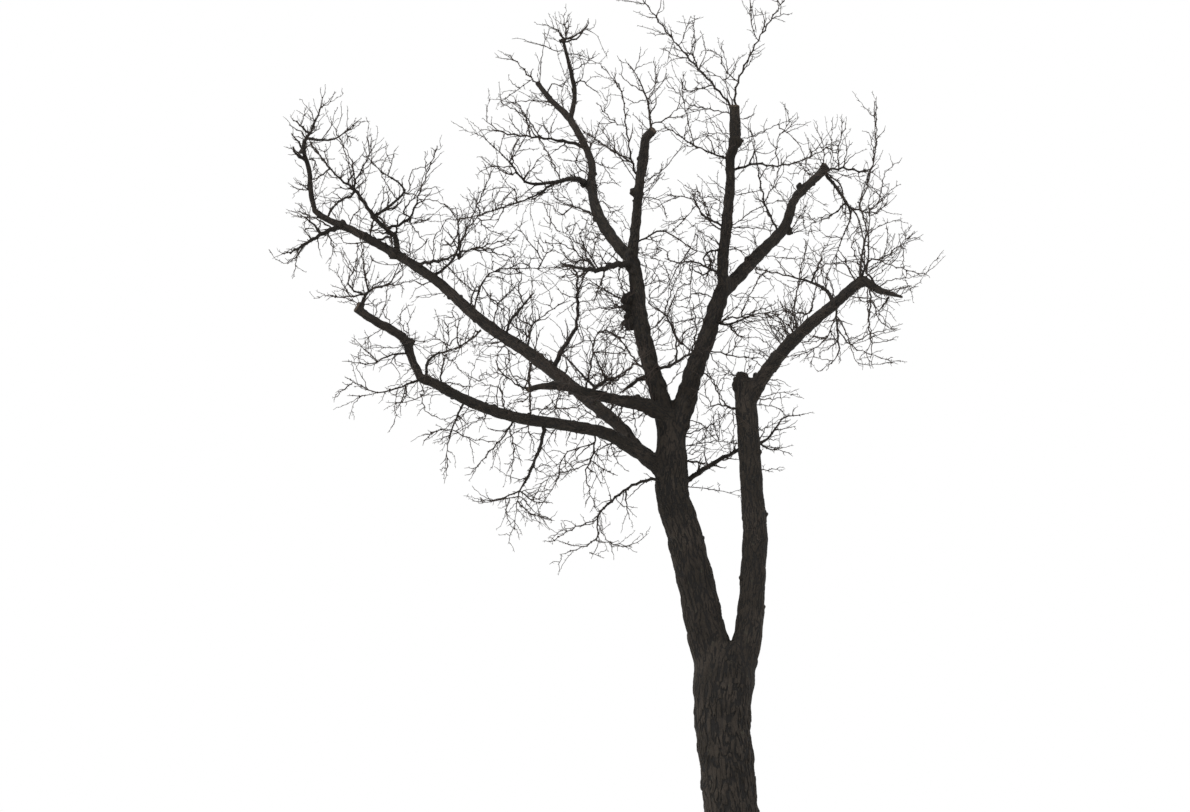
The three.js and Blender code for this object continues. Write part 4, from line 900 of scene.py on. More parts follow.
BURL_WHIPS, BURL_WHIP_LENGTH, BURL_WHIP_RISE, BURL_WHIP_FAVOUR = 6, (90, 420), (-0.7, 1), 1.4

# Steps from knee to knee
LIMB_STEPS, TRUNK_STEPS, AXIS_STEPS, SKIN_STEPS, FRAME_STEPS = 2, 6, 8, 16, 10
LIMB_CARRIER_STEPS, TWIG_CARRIER_STEPS, BRANCHLET_STEPS, BOW_STEPS = 24, 3, 4, 5

# Course of the wood: how far apart its nodes are, how far it sways and turns at each, the knots on them,
# its sides, the flare at the foot, and the bow of the finer twigs
NODE_SPACING = {"frame": 62, "side": 48, "twiglet": 38}
KINK = {"frame": 0.15, "side": 0.16, "twiglet": 0.13}
KNOTS = {"frame": (4, 9, 0.8), "side": (2, 4.5, 0.6), "twiglet": (1.2, 3, 0.5)}
SIDES = {"frame": 8, "side": 5, "twiglet": 4, "spur": 3}
SWAY_LEAST, NODE_TURN = 0.4, 1.3
KNOT_LENGTH, KNOT_FOOT = 1.5, 0.2
FOOT_FLARE = ((0, 0.45), (1.4, 0.2))
WHIP_BOW, WHIP_BOW_LEAST, WHIP_MIDDLE_GIRTH = 0.13, 0.2, 0.6

# Branchlets: how they taper, how they may drift in depth, and how near their carrier they may touch a limb
BRANCHLET_TAPER, BRANCHLET_END, BRANCHLET_FULLNESS = 1.6, 0.45, 1.2
BRANCHLET_DRIFTS, BRANCHLET_DRIFT_MOST = (0.5, -0.5, 0.25, -0.25, 0.8, -0.8, 0), 260
BRANCHLET_FOOT, BRANCHLET_ROOT, BRANCHLET_LIFT = 6, 40, 0.2

# Buds: the belly and the point of a spur's bud past its end, and the size of the buds set at the tips
SPUR_BELLY, SPUR_SWELL, SPUR_POINT, SPUR_POINT_RADIUS = 3, 1.1, 7.5, 0.4
BUD_LENGTH, BUD_LENGTH_VARIES, BUD_WIDTH, BUD_SIDES = 0.007, 0.004, 0.22, 4

# Bark: voxel of the skin, its smoothing as a whole and in the crotches, and its plates and relief by the
# girth of the limb
VOXEL = 0.009
STEADY_PASSES, STEADY_SHARES = 6, (0.5, -0.52)
CROTCH_PASSES, CROTCH_GIRTH, CROTCH_SHARE, CROTCH_LEAST = 110, 170, 0.6, 0.1
PLATE, PLATE_BY_RADIUS, PLATE_STRETCH, PLATE_SHIFT = 9, 0.1, 4.0, 37
RELIEF_BY_RADIUS, RELIEF_LEAST, RELIEF_MOST, RELIEF_MIDDLE = 0.05, 0.0008, 0.013, 0.55
READING_REACH, READING_ROOM = 1.8, 80
SETTLED_LEAST, SETTLED_BY_GIRTH, CUT_DEPTH = 10, 0.35, 0.08

# Form of the skin: rings and sides of the limbs and knobs, flutes of the trunk, burls, collars at the feet
# of the stems, where the skin departs from the solids, bosses where twigs were shed, lumps and cut ends
TRUNK_SIDES, STEM_SIDES, BOUGH_SIDES, COLLAR_SIDES, STEM_RADIUS = 64, 40, 24, 12, 130
FLARE_TOP, FLARE_RINGS, TRUNK_SKIN_RINGS = 400, 15, 48
FLUTE, FLUTE_RISE = 0.03, 900
KNOB_POLE, KNOB_RINGS, KNOB_SIDES, KNOB_GIRDLE, KNOB_FULLNESS = 0.12, 9, 14, 160, 1.02
KNOB_SEEDS = 900
BURL_LUMPS, BURL_LUMP_SIZE, BURL_LUMP_SEAT = 13, (0.24, 0.5), 0.7
BURL_FULLNESS, BURL_CORE, BURL_SURFACE = 0.95, 0.8, 1.08
COLLAR_ROOTS, COLLAR_ENDS, COLLAR_GIRTHS = (-25, -5), (0.9, 2.0), (1.4, 1.75, 1.5, 1.3)
BURL_FILL = {
    "left_centre_bough": [(-1120, 5955, -20, 60), (-1098, 5872, -30, 54)],
    "outer_limb": [(-1558, 7195, 625, 44), (-1610, 7232, 640, 32)],
}
CROTCH_FILL = [(-650, 4985, 10, 40), (35, 5168, -30, 106), (-318, 2380, 0, 140), (52, 2400, 0, 132)]
SKIN_SHIFTS = {
    "right_stem": {8: (0, -28, 0)},
    "long_bough": {1: (0, 20, 0), 2: (0, 25, 0), 3: (0, 0, 5), 4: (0, 0, 5)},
    "low_bough": {1: (0, -20, 0)},
    "front_bough": {
        0: (0, 0, 40), 1: (0, 0, 30), 2: (0, -5, 13), 3: (0, -15, 14), 4: (0, 0, 4), 5: (0, 0, 5),
    },
}
BOSS_SPACING, BOSS_GAP_LEAST, BOSS_GAP_RADIUS = 62, 0.5, 60
BOSS_SIZE, BOSS_FAVOUR, BOSS_RADIUS_MOST, BOSS_RISE, BOSS_SEAT = (0.26, 0.6), 1.5, 75, 0.35, 0.72
LUMPS = ((1, 610, 0.018), (2, 330, 0.022), (3, 190, 0.014), (4, 120, 0.008))
BOUGH_LUMPS = ((1, 610, 0.03), (2, 330, 0.04), (1, 147, 0.045), (3, 190, 0.03), (2, 95, 0.025))
CUT_ENDS = ("upright_bough", "slanting_bough", "inner_limb", "front_bough", "low_bough_end")


def seen(places):
    """The points of places: the outline is kept as seen from the eye, whatever the depth."""
    side, up, behind = np.asarray(places, float).reshape(-1, 3).T
    scale = 1 - behind / EYE_BEHIND
    return np.stack(
        [EYE_SIDE + (side - EYE_SIDE) * scale, behind, EYE_UP + (up - EYE_UP) * scale], axis=1
    )


def outline_of(points):
    """The side and up of points, as seen from the eye."""
    scale = 1 - points[:, 1] / EYE_BEHIND
    side = EYE_SIDE + (points[:, 0] - EYE_SIDE) / scale
    up = EYE_UP + (points[:, 2] - EYE_UP) / scale
    return np.stack([side, up], axis=1)


def seeded(seed):
    """Repeatable random numbers from 0 to 1, the same as the solids grow by."""
    mask = 0xFFFFFFFF
    state = seed & mask

    def draw():
        nonlocal state
        state = (state + 0x6D2B79F5) & mask
        mixed = state
        mixed = ((mixed ^ (mixed >> 15)) * (mixed | 1)) & mask
        mixed ^= (mixed + ((mixed ^ (mixed >> 7)) * (mixed | 61) & mask)) & mask
        return (mixed ^ (mixed >> 14)) / 4294967296

    return draw


def draws(draw, count):
    return np.array([draw() for _ in range(count)])


def mix(start, end, share):
    return start + (end - start) * share


def unit(vectors):
    return vectors / np.maximum(np.linalg.norm(vectors, axis=-1, keepdims=True), 1e-9)


def smooth_path(knees, radii, steps):
    """A smooth course through knees, with a radius at each point."""
    knees, radii = np.asarray(knees, float), np.asarray(radii, float)
    spread = np.vstack([2 * knees[0] - knees[1], knees, 2 * knees[-1] - knees[-2]])
    at = np.arange((len(knees) - 1) * steps + 1) / steps
    knee = np.minimum(at.astype(int), len(knees) - 2)
    t = (at - knee)[:, None]
    before, start, end, after = (spread[knee + i] for i in range(4))
    leave, arrive = (end - before) / 2, (after - start) / 2
    points = (
        start + leave * t + (3 * (end - start) - 2 * leave - arrive) * t**2
        + (2 * (start - end) + leave + arrive) * t**3
    )
    return points, mix(radii[knee], radii[knee + 1], at - knee)


def lengths_of(points):
    return np.concatenate([[0], np.cumsum(np.linalg.norm(np.diff(points, axis=0), axis=1))])


def places_at(points, radii, along):
    """Points, radii and directions at lengths along a path."""
    lengths = lengths_of(points)
    i = np.clip(np.searchsorted(lengths, along, side="left"), 1, len(points) - 1)
    part = (along - lengths[i - 1]) / (lengths[i] - lengths[i - 1])
    return (
        mix(points[i - 1], points[i], part[:, None]),
        mix(radii[i - 1], radii[i], part),
        unit(points[i] - points[i - 1]),
    )


def across_from(directions):
    """Directions square to others, taken from upright, or from sideways where they are steep."""
    steep = np.abs(directions[:, 2:3]) >= STEEP
    helper = np.where(steep, [[1.0, 0, 0]], [[0, 0, 1.0]])
    return unit(np.cross(helper, directions))


def gaps(a_from, a_to, b_from, b_to):
    """Shortest distances between straight pieces: each of the first against each of the second."""
    a_from, a_to = a_from[:, None, :], a_to[:, None, :]
    b_from, b_to = b_from[None, :, :], b_to[None, :, :]
    along, beside, offset = a_to - a_from, b_to - b_from, a_from - b_from
    aa, bb, ab = (along * along).sum(-1), (beside * beside).sum(-1), (along * beside).sum(-1)
    ao, bo = (along * offset).sum(-1), (beside * offset).sum(-1)

    def share_of(over, under):
        over, under = np.broadcast_arrays(over, under)
        return np.where(under > 0, np.clip(over / np.where(under > 0, under, 1), 0, 1), 0)

    first = share_of(ab * bo - ao * bb, aa * bb - ab * ab)
    t = share_of(ab * first + bo, bb)
    s = share_of(ab * t - ao, aa)
    return np.linalg.norm(offset + along * s[..., None] - beside * t[..., None], axis=-1)


class Pieces:
    """Straight pieces of paths, each with the larger radius of its two ends."""

    def __init__(self, paths=()):
        self.starts = np.vstack([np.empty((0, 3)), *[points[:-1] for points, _ in paths]])
        self.ends = np.vstack([np.empty((0, 3)), *[points[1:] for points, _ in paths]])
        self.radii = np.concatenate([[], *[np.maximum(radii[:-1], radii[1:]) for _, radii in paths]])

    def joined(self, *others):
        made = Pieces()
        everything = [self, *others]
        made.starts = np.vstack([p.starts for p in everything])
        made.ends = np.vstack([p.ends for p in everything])
        made.radii = np.concatenate([p.radii for p in everything])
        return made

    def room_round(self, starts, ends, radii):
        """How far each straight piece stays clear of all of these."""
        if not len(self.radii):
            return np.full(len(starts), np.inf)
        clear = gaps(starts, ends, self.starts, self.ends) - self.radii[None, :]
        return clear.min(axis=1) - radii

    def nearness(self, points):
        return gaps(points, points, self.starts, self.ends).min(axis=1)

    def nearest_place(self, point):
        """The point of these nearest to another."""
        pieces = self.ends - self.starts
        t = ((point - self.starts) * pieces).sum(1) / (pieces * pieces).sum(1)
        places = self.starts + np.clip(t, 0, 1)[:, None] * pieces
        return places[np.argmin(np.linalg.norm(places - point, axis=1))]


def outward_at(direction, turn):
    """Directions square to a course, turned round it by so much."""
    side = across_from(direction)
    return side * np.cos(turn) + np.cross(direction, side) * np.sin(turn)


class Wood:
    """A bough, stem, arm or twig: its kind, course, radii, the piece that shows it and its lift."""

    def __init__(self, kind, piece, points, radii, lift):
        self.kind, self.piece, self.points, self.radii, self.lift = kind, piece, points, radii, lift


def offers(points, radii, rule, reach, lift, draw, favour=1.0):
    """The twigs that a rule offers along one path, before any is skipped: starts, radii and ends."""
    total = lengths_of(points)[-1]
    turn = 2 * math.pi * draw()
    along = max(rule["first"] * total, rule["first_least"])
    rows = []
    while along < total:
        turn += rule["turn"] + rule["turn_varies"] * (draw() - 0.5)
        spread = mix(*rule["spread"], draw())
        length = reach * mix(*rule["length"], draw() ** favour)
        rows.append((along, turn, spread, length))
        along += rule["spacing"] * mix(*rule["varies"], draw())
    if not rows:
        return np.empty((0, 3)), np.empty(0), np.empty((0, 3))
    along, turn, spread, length = (column[:, None] for column in np.array(rows).T)
    starts, radius, direction = places_at(points, radii, along[:, 0])
    heading = direction * np.cos(spread) + outward_at(direction, turn) * np.sin(spread)
    heading[:, 2] += lift
    return starts, radius, starts + unit(heading) * length


def kinked(points, radii, kind, draw):
    """A course from node to node, which turns a little at each."""
    total = lengths_of(points)[-1]
    count = max(int(round(total / NODE_SPACING[kind])), 2)
    points, radii, direction = places_at(points, radii, np.linspace(0, total, count + 1))
    turn = 2 * math.pi * draw() + draws(draw, count + 1) * NODE_TURN
    sway = np.where(np.arange(count + 1) % 2, 1.0, -1.0) * KINK[kind] * total / count
    sway *= SWAY_LEAST + draws(draw, count + 1)
    sway[0] = 0
    return points + outward_at(direction, turn[:, None]) * sway[:, None], radii


def bowed(start, end, radii, kind, draw):
    """A twig from start to end, bowed to one side and kinked at its nodes."""
    outward = outward_at(unit((end - start)[None]), 2 * math.pi * draw())[0]
    bow = outward * WHIP_BOW * (draw() + WHIP_BOW_LEAST) * np.linalg.norm(end - start)
    radii = [radii[0], mix(*radii, WHIP_MIDDLE_GIRTH), radii[1]]
    points, radii = smooth_path([start, mix(start, end, 0.5) + bow, end], radii, BOW_STEPS)
    return kinked(points, radii, kind, draw)


def knotted(wood, draw):
    """Points and radii of a sweep: a flared foot and knots at some nodes."""
    lengths = lengths_of(wood.points)
    foot = wood.radii[0]
    least, most, share = KNOTS[wood.kind]
    stations = [(at * foot, flare * foot) for at, flare in FOOT_FLARE] + [(at, 0.0) for at in lengths[1:]]
    for at in lengths[1:-1]:
        if draw() < share:
            size = mix(least, most, draw())
            stations.append((at, size))
            stations += [(at + side * size * KNOT_LENGTH, KNOT_FOOT * size) for side in (-1, 1)]
    stations = np.array(sorted(stations))
    at = np.clip(stations[:, 0], 0, lengths[-1])
    points = np.stack([np.interp(at, lengths, wood.points[:, axis]) for axis in range(3)], axis=1)
    return points, np.interp(at, lengths, wood.radii) + stations[:, 1]


def budded(wood):
    """Points and radii of a spur, which ends in a bud."""
    start, end = wood.points[0], wood.points[-1]
    ahead = unit(end - start)
    points = np.array([start, end - ahead, end + ahead * SPUR_BELLY, end + ahead * SPUR_POINT])
    foot, tip = wood.radii[0], wood.radii[-1]
    return points, np.array([foot, tip, tip + SPUR_SWELL, SPUR_POINT_RADIUS])


def limb_course(limb, steps):
    """Course and radii of a limb, as the solids have it."""
    knees = np.array(limb["knees"])
    return smooth_path(seen(knees[:, :3]), knees[:, 3], steps)


limb_paths = {name: limb_course(limb, LIMB_STEPS) for name, limb in LIMBS.items()}
knob_paths = []
for limb in LIMBS.values():
    for side, up, behind, radius in limb["knobs"]:
        middle = seen([(side, up, behind)])
        knob_paths.append((np.vstack([middle, middle + [0, 0, 1]]), np.array([radius, radius])))
limb_pieces = Pieces([*limb_paths.values(), *knob_paths])


def frame_paths(mass):
    """The stem of a mass and its arms, each with its knees and radii."""

    def tapered(points, radius):
        return points, mix(radius, TWIG_END_RADIUS, np.arange(len(points)) / (len(points) - 1))

    stem = tapered(seen(mass["stem"]), mass["foot"])
    total = lengths_of(stem[0])[-1]
    paths = [stem]
    for share, *knees in mass["arms"]:
        start, radius, _ = places_at(*stem, np.array([share * total]))
        paths.append(tapered(np.vstack([start, seen(knees)]), radius[0] * ARM_FOOT))
    return paths


frames = {name: frame_paths(mass) for name, mass in MASSES.items()}
frame_pieces = {name: Pieces(paths) for name, paths in frames.items()}
piece_of = {mass: piece for piece, masses in TWIG_PIECES.items() for mass in masses}


def framework(draw):
    """The stems and arms of all masses, on a kinked course through their knees."""
    grown = {}
    for name, paths in frames.items():
        grown[name] = []
        for rank, (knees, radii) in enumerate(paths):
            if rank == 0:
                root = knees[0] - unit(knees[1] - knees[0]) * STEM_ROOT
                knees, radii = np.vstack([root, knees]), np.append(radii[0] * STEM_ROOT_GIRTH, radii)
            else:
                stem = grown[name][0]
                start = Pieces([(stem.points, stem.radii)]).nearest_place(knees[0])
                knees = np.vstack([start, knees[1:]])
            points, radii = smooth_path(knees, radii, FRAME_STEPS)
            share = np.arange(len(points)) / (len(points) - 1)
            girth = GIRTHS.get(name, GIRTH) * (ARM_GIRTHS.get(name, ARM_GIRTH) if rank else 1)
            end_girth = END_GIRTHS.get(name, END_GIRTH) if rank == 0 else END_GIRTH
            radii = np.maximum(radii * mix(girth, end_girth, share**2), FINE_END_RADIUS)
            course = kinked(points, radii, "frame", draw)
            grown[name].append(Wood("frame", piece_of[name], *course, MASSES[name]["lift"]))
    return grown


def grow_side_twigs(stems, draw_course):
    """The side twigs of all masses, each kept only in its mass's own space and clear of the rest."""
    grown = []
    taken = Pieces()
    for rank, (name, paths) in enumerate(frames.items()):
        draw = seeded(SEED + rank)
        strangers = Pieces().joined(*[p for other, p in frame_pieces.items() if other != name])
        own = frame_pieces[name]
        shown = Pieces([(w.points, w.radii) for w in stems[name]])
        for path_rank, (points, radii) in enumerate(paths):
            sisters = Pieces([p for i, p in enumerate(paths) if i != path_rank])
            reach, lift = MASSES[name]["reach"], MASSES[name]["lift"]
            starts, foot, ends = offers(points, radii, SIDE_RULE, reach, lift, draw)
            for start, radius, end in zip(starts[:, None], foot, ends[:, None]):
                radius = radius * SIDE_RULE["foot"] + SIDE_RULE["foot_extra"]
                if own.nearness(end)[0] >= strangers.nearness(end)[0]:
                    continue
                around = limb_pieces.joined(strangers, taken)
                if around.room_round(start, end, radius)[0] <= TWIG_CLEARANCE:
                    continue
                free_from = mix(start, end, TWIG_ROOT_SHARE)
                if sisters.room_round(free_from, end, radius)[0] <= 0:
                    continue
                twig = (np.vstack([start, end]), np.array([radius, TWIG_END_RADIUS]))
                taken = taken.joined(Pieces([twig]))
                radii_shown = (radius * SIDE_GIRTH, FINE_END_RADIUS)
                course = bowed(shown.nearest_place(start[0]), end[0], radii_shown, "side", draw_course)
                grown.append(Wood("side", piece_of[name], *course, lift))
    return grown


class Carriers:
    """Everything that a branchlet may leave from, laid out as the eye sees it."""

    def __init__(self):
        self.flat, self.points = np.empty((0, 2)), np.empty((0, 3))
        self.radii, self.pieces = np.empty(0), []

    def add(self, points, radii, piece):
        self.flat = np.vstack([self.flat, outline_of(points)])
        self.points = np.vstack([self.points, points])
        self.radii = np.concatenate([self.radii, radii])
        self.pieces += [piece] * len(points)

    def nearest(self, place):
        away = np.maximum(np.linalg.norm(self.flat - place, axis=1) - self.radii, 0)
        best = int(np.argmin(away))
        return self.points[best], self.radii[best], self.pieces[best]

    def reach(self):
        """The cells near any of these, as the eye sees them."""
        cells = np.floor(self.flat / REACH_CELL).astype(int)
        round_ = range(-REACH_CELLS_ROUND, REACH_CELLS_ROUND + 1)
        return {(x + i, y + j) for x, y in set(map(tuple, cells.tolist())) for i in round_ for j in round_}


def branchlet_course(places, start, start_radius, drift):
    """Knees of a branchlet that leaves its carrier at a start and drifts in depth as it goes."""
    flat = np.asarray(places, float)
    flat_start = outline_of(start[None])[0]
    if len(flat) > 2 and np.linalg.norm(flat[0] - flat_start) < start_radius + BRANCHLET_FOOT:
        flat = flat[1:]
    gone = np.cumsum(np.linalg.norm(np.diff(np.vstack([flat_start, flat]), axis=0), axis=1))
    gone = np.clip(drift * gone, -BRANCHLET_DRIFT_MOST, BRANCHLET_DRIFT_MOST)
    depth = np.clip(start[1] + gone, CAD_BOX[0].y / MM, CAD_BOX[1].y / MM)
    return np.vstack([start, seen(np.column_stack([flat, depth]))])


def listed_branchlets():
    """Radius at the foot and places of each branchlet in the list."""
    return [
        (float(radius), [[value * CM for value in place] for place in places])
        for (radius,), places in table_rows(BRANCHLET_ROWS)
    ]


def grow_branchlets(carriers, draw):
    """The branchlets between the masses, each clear of the limbs past its foot."""
    grown = []
    for rank, (radius, places) in enumerate(listed_branchlets()):
        start, start_radius, owner = carriers.nearest(places[0])
        for drift in BRANCHLET_DRIFTS[rank % 2 :]:
            knees = branchlet_course(places, start, start_radius, drift)
            taper = (np.arange(len(knees)) / (len(knees) - 1)) ** BRANCHLET_TAPER
            end_radius = max(FINE_END_RADIUS, radius * BRANCHLET_END)
            girths = mix(radius * BRANCHLET_FULLNESS, end_radius, taper)
            points, radii = smooth_path(knees, girths, BRANCHLET_STEPS)
            away = np.linalg.norm(points[:-1] - start, axis=1) > start_radius + BRANCHLET_ROOT
            if not away.any():
                break
            room = limb_pieces.room_round(points[:-1][away], points[1:][away], radii[:-1][away])
            if room.min() > TWIG_CLEARANCE:
                break
        points, radii = kinked(points, radii, "side", draw)
        grown.append(Wood("side", owner, points, radii, BRANCHLET_LIFT))
        carriers.add(points, radii, owner)
    return grown


def offered_on(parents, rule, reach, draw, favour):
    """What a rule offers on wood: parent, start, radius there, end, and where it comes to the surface."""
    rows = []
    for parent in parents:
        starts, radii, ends = offers(parent.points, parent.radii, rule, reach, parent.lift, draw, favour)
        outward = unit(ends - starts) * radii[:, None]
        rows += [(parent, *row) for row in zip(starts, radii, ends + outward, starts + outward)]
    return rows


def offered_on_burls(draw):
    """Whips that stand out from the burls on all sides."""
    rows = []
    for name, limb in LIMBS.items():
        parent = Wood("limb", LIMB_TWIGS[name], None, None, LIFT)
        for side, up, behind, radius in limb["knobs"] + BURL_FILL.get(name, []):
            middle = seen([(side, up, behind)])[0]
            for _ in range(BURL_WHIPS):
                turn, height = 2 * math.pi * draw(), mix(*BURL_WHIP_RISE, draw())
                flat = math.sqrt(1 - height * height)
                outward = np.array([flat * math.cos(turn), flat * math.sin(turn), height])
                length = mix(*BURL_WHIP_LENGTH, draw() ** BURL_WHIP_FAVOUR)
                end, surface = middle + outward * (radius + length), middle + outward * radius
                rows.append((parent, middle, radius, end, surface))
    return rows


def grown_from(rows, kind, rule, draw, cells):
    """The finer twigs of those offered that stay within the outline's reach, in the box and off the limbs."""
    starts, ends, surface = (np.array([row[i] for row in rows]) for i in (1, 3, 4))
    low, high = (np.array(corner) / MM for corner in CAD_BOX)
    kept = ((ends > low - BOX_SPARE) & (ends < high + BOX_SPARE)).all(axis=1)
    for place in (ends, mix(surface, ends, 0.5)):
        squares = np.floor(outline_of(place) / REACH_CELL).astype(int).tolist()
        kept &= np.array([tuple(square) in cells for square in squares])
    if kind != "spur":
        away = np.linalg.norm(outline_of(ends)[:, None] - THIN_PLACES, axis=2).min(axis=1)
        kept &= (away > THIN_REACH) | (draws(draw, len(rows)) < THIN_SHARE)
    past_foot = mix(surface, ends, FINE_ROOT_SHARE)
    for chunk in np.array_split(np.arange(len(rows)), len(rows) // AT_ONCE + 1):
        room = limb_pieces.room_round(past_foot[chunk], ends[chunk], FINE_RADIUS)
        kept[chunk] &= room > FINE_CLEARANCE
    grown = []
    for keep, (parent, start, radius, end, _) in zip(kept, rows):
        if keep:
            foot = min(radius * rule["foot"] + rule["foot_extra"], radius)
            radii = np.array([foot, min(foot, FINE_END_RADIUS)])
            if kind == "spur":
                course = np.array([start, end]), radii
            else:
                course = bowed(start, end, radii, kind, draw)
            grown.append(Wood(kind, parent.piece, *course, parent.lift))
    return grown


class Socket:
    """A socket of a node tree. Arithmetic on it adds the nodes that work it out."""

    def __init__(self, nodes, socket):
        self.nodes, self.socket = nodes, socket

    def combine(self, operation, first, second):
        sockets = [s.socket for s in (first, second) if isinstance(s, Socket)]
        vector = any(s.type in ("VECTOR", "RGBA") for s in sockets)
        kind = "ShaderNodeVectorMath" if vector else "ShaderNodeMath"
        return self.nodes.add(kind, {"operation": operation}, {0: first, 1: second})

    def __add__(self, other):
        return self.combine("ADD", self, other)

    def __radd__(self, other):
        return self.combine("ADD", other, self)

    def __sub__(self, other):
        return self.combine("SUBTRACT", self, other)

    def __rsub__(self, other):
        return self.combine("SUBTRACT", other, self)

    def __mul__(self, other):
        return self.combine("MULTIPLY", self, other)

    def __rmul__(self, other):
        return self.combine("MULTIPLY", other, self)


class Nodes:
    """The nodes of one tree: each is added with its settings first and then its sockets."""

    def __init__(self, tree):
        self.tree = tree

    def add(self, kind, settings=None, sockets=None, output=0):
        node = self.tree.nodes.new(kind)
        for name, value in (settings or {}).items():
            setattr(node, name, value)
        for key, value in (sockets or {}).items():
            target = node.inputs[key] if isinstance(key, int) else self.named(node, key)
            if isinstance(value, Socket):
                self.tree.links.new(value.socket, target)
            elif target.type in ("VECTOR", "RGBA") and isinstance(value, (int, float)):
                target.default_value = [value] * len(target.default_value)
            else:
                target.default_value = value
        return Socket(self, node.outputs[output])

    @staticmethod
    def named(node, identifier):
        return next(s for s in node.inputs if s.identifier == identifier)

    def noise(self, place, scale, detail=3.0, roughness=0.55):
        sockets = {"Vector": place, "Scale": scale, "Detail": detail, "Roughness": roughness}
        return self.add("ShaderNodeTexNoise", None, sockets)

    def noise_colour(self, place, scale, detail):
        return self.add("ShaderNodeTexNoise", None, {"Vector": place, "Scale": scale, "Detail": detail}, 1)

    def cracks(self, place, scale):
        """Distance to the nearest edge between cells."""
        settings = {"feature": "DISTANCE_TO_EDGE", "voronoi_dimensions": "3D"}
        return self.add("ShaderNodeTexVoronoi", settings, {"Vector": place, "Scale": scale})

    def between(self, value, low, high):
        """Rises smoothly from 0 to 1 as a value goes from low to high."""
        settings = {"interpolation_type": "SMOOTHSTEP"}
        return self.add("ShaderNodeMapRange", settings, {"Value": value, "From Min": low, "From Max": high})

    def blend(self, share, first, second):
        sockets = {"Factor_Float": share, "A_Color": first, "B_Color": second}
        return self.add("ShaderNodeMix", {"data_type": "RGBA"}, sockets, 2)

    def blend_values(self, share, first, second):
        sockets = {"Factor_Float": share, "A_Float": first, "B_Float": second}
        return self.add("ShaderNodeMix", {"data_type": "FLOAT"}, sockets)

    def sweep(self, line, sides, girth):
        """A tube along a line, as thick at each point as its girth, with its ends closed."""
        ring = self.add("GeometryNodeCurvePrimitiveCircle", None, {"Resolution": sides, "Radius": 1.0})
        sockets = {"Curve": line, "Profile Curve": ring, "Scale": girth, "Fill Caps": True}
        return self.add("GeometryNodeCurveToMesh", None, sockets)


def bark_height(nodes, grain):
    """Height of the bark from 0 in the furrows to 1 on the ridges; grain counts its plates."""
    bent = grain + (nodes.noise_colour(grain, 0.45, 2.0) - 0.5) * 1.5
    course = nodes.noise(bent, 0.62, 2.0, 0.5) - 0.5
    furrows = nodes.between(course * course, 0.0002, 0.0036)
    plates = nodes.between(nodes.cracks(bent, 0.9), 0.0, nodes.noise(grain, 0.8, 1.0) * 0.26)
    splits = nodes.noise(bent, 4.2, 3.0, 0.6)
    return furrows * (plates * 0.55 + 0.45) * (splits * 0.5 + 0.62)


def colour(hexed):
    """A plain colour from its six figures, as the shaders count it."""
    values = [int(hexed[i : i + 2], 16) / 255 for i in (0, 2, 4)]
    return [*[v / 12.92 if v <= 0.04045 else ((v + 0.055) / 1.055) ** 2.4 for v in values], 1.0]


def material(name, paint):
    """A material whose paint function gives its colour, its bump height in metres and its roughness."""
    made = bpy.data.materials.new(name)
    made.use_nodes = True
    nodes = Nodes(made.node_tree)
    shader = made.node_tree.nodes["Principled BSDF"]
    shader.inputs["Specular IOR Level"].default_value = 0.25
    base, height, rough = paint(nodes)
    bump = nodes.add("ShaderNodeBump", None, {"Height": height, "Strength": 1.0, "Distance": 1.0})
    for socket, value in (("Base Color", base), ("Normal", bump), ("Roughness", rough)):
        made.node_tree.links.new(value.socket, shader.inputs[socket])
    return made


def attribute(nodes, name, output=2):
    """An attribute of the surface: output 1 is a vector and 2 a value."""
    return nodes.add("ShaderNodeAttribute", {"attribute_name": name}, None, output)


def bark_colours(nodes, place, height, rough_skin):
    """Weathered ridges; furrows painted near black, partly own bark colour, partly painted shade; some algae
    and lichen.
    """
    weathered = nodes.between(nodes.noise(place, 3.2, 3.0), 0.38, 0.68)
    ridge = nodes.blend(weathered, colour("241f19"), colour("322c26"))
    # Painted shade, in part: the furrows, low in height, turn near black, both their own darker bark and
    # shade painted into the recesses
    base = nodes.blend(nodes.between(height, 0.05, 0.8), colour("0b0907"), ridge)
    base = nodes.blend(nodes.between(rough_skin, 0.35, 0.75) * 0.6, base, colour("130f0d"))
    lichen = nodes.between(nodes.noise(place, 17, 5.0, 0.62), 0.60, 0.72) * 0.5
    return nodes.blend(lichen * nodes.between(height, 0.3, 0.8), base, colour("383c31"))


def paint_bark(nodes):
    place = nodes.add("ShaderNodeTexCoord", None, None, 3)
    grain, girth = attribute(nodes, "grain", 1), attribute(nodes, "girth")
    settled, cut = attribute(nodes, "settled"), attribute(nodes, "cut")
    upright = nodes.add("ShaderNodeVectorMath", {"operation": "MULTIPLY"}, {0: place, 1: (1, 1, 0.3)})
    rough_skin = nodes.noise(place, 95, 4.0, 0.65)
    height = nodes.blend_values(settled, bark_height(nodes, upright * 30), bark_height(nodes, grain))
    base = bark_colours(nodes, place, height, rough_skin)
    rings = nodes.between(nodes.noise(place, 40, 3.0), 0.3, 0.7)
    base = nodes.blend(cut, base, nodes.blend(rings, colour("342c25"), colour("4d4237")))
    relief = height * (girth * 0.02 + 0.0006) + rough_skin * 0.0014
    return base, relief, nodes.between(height, 0, 1) * 0.12 + 0.82


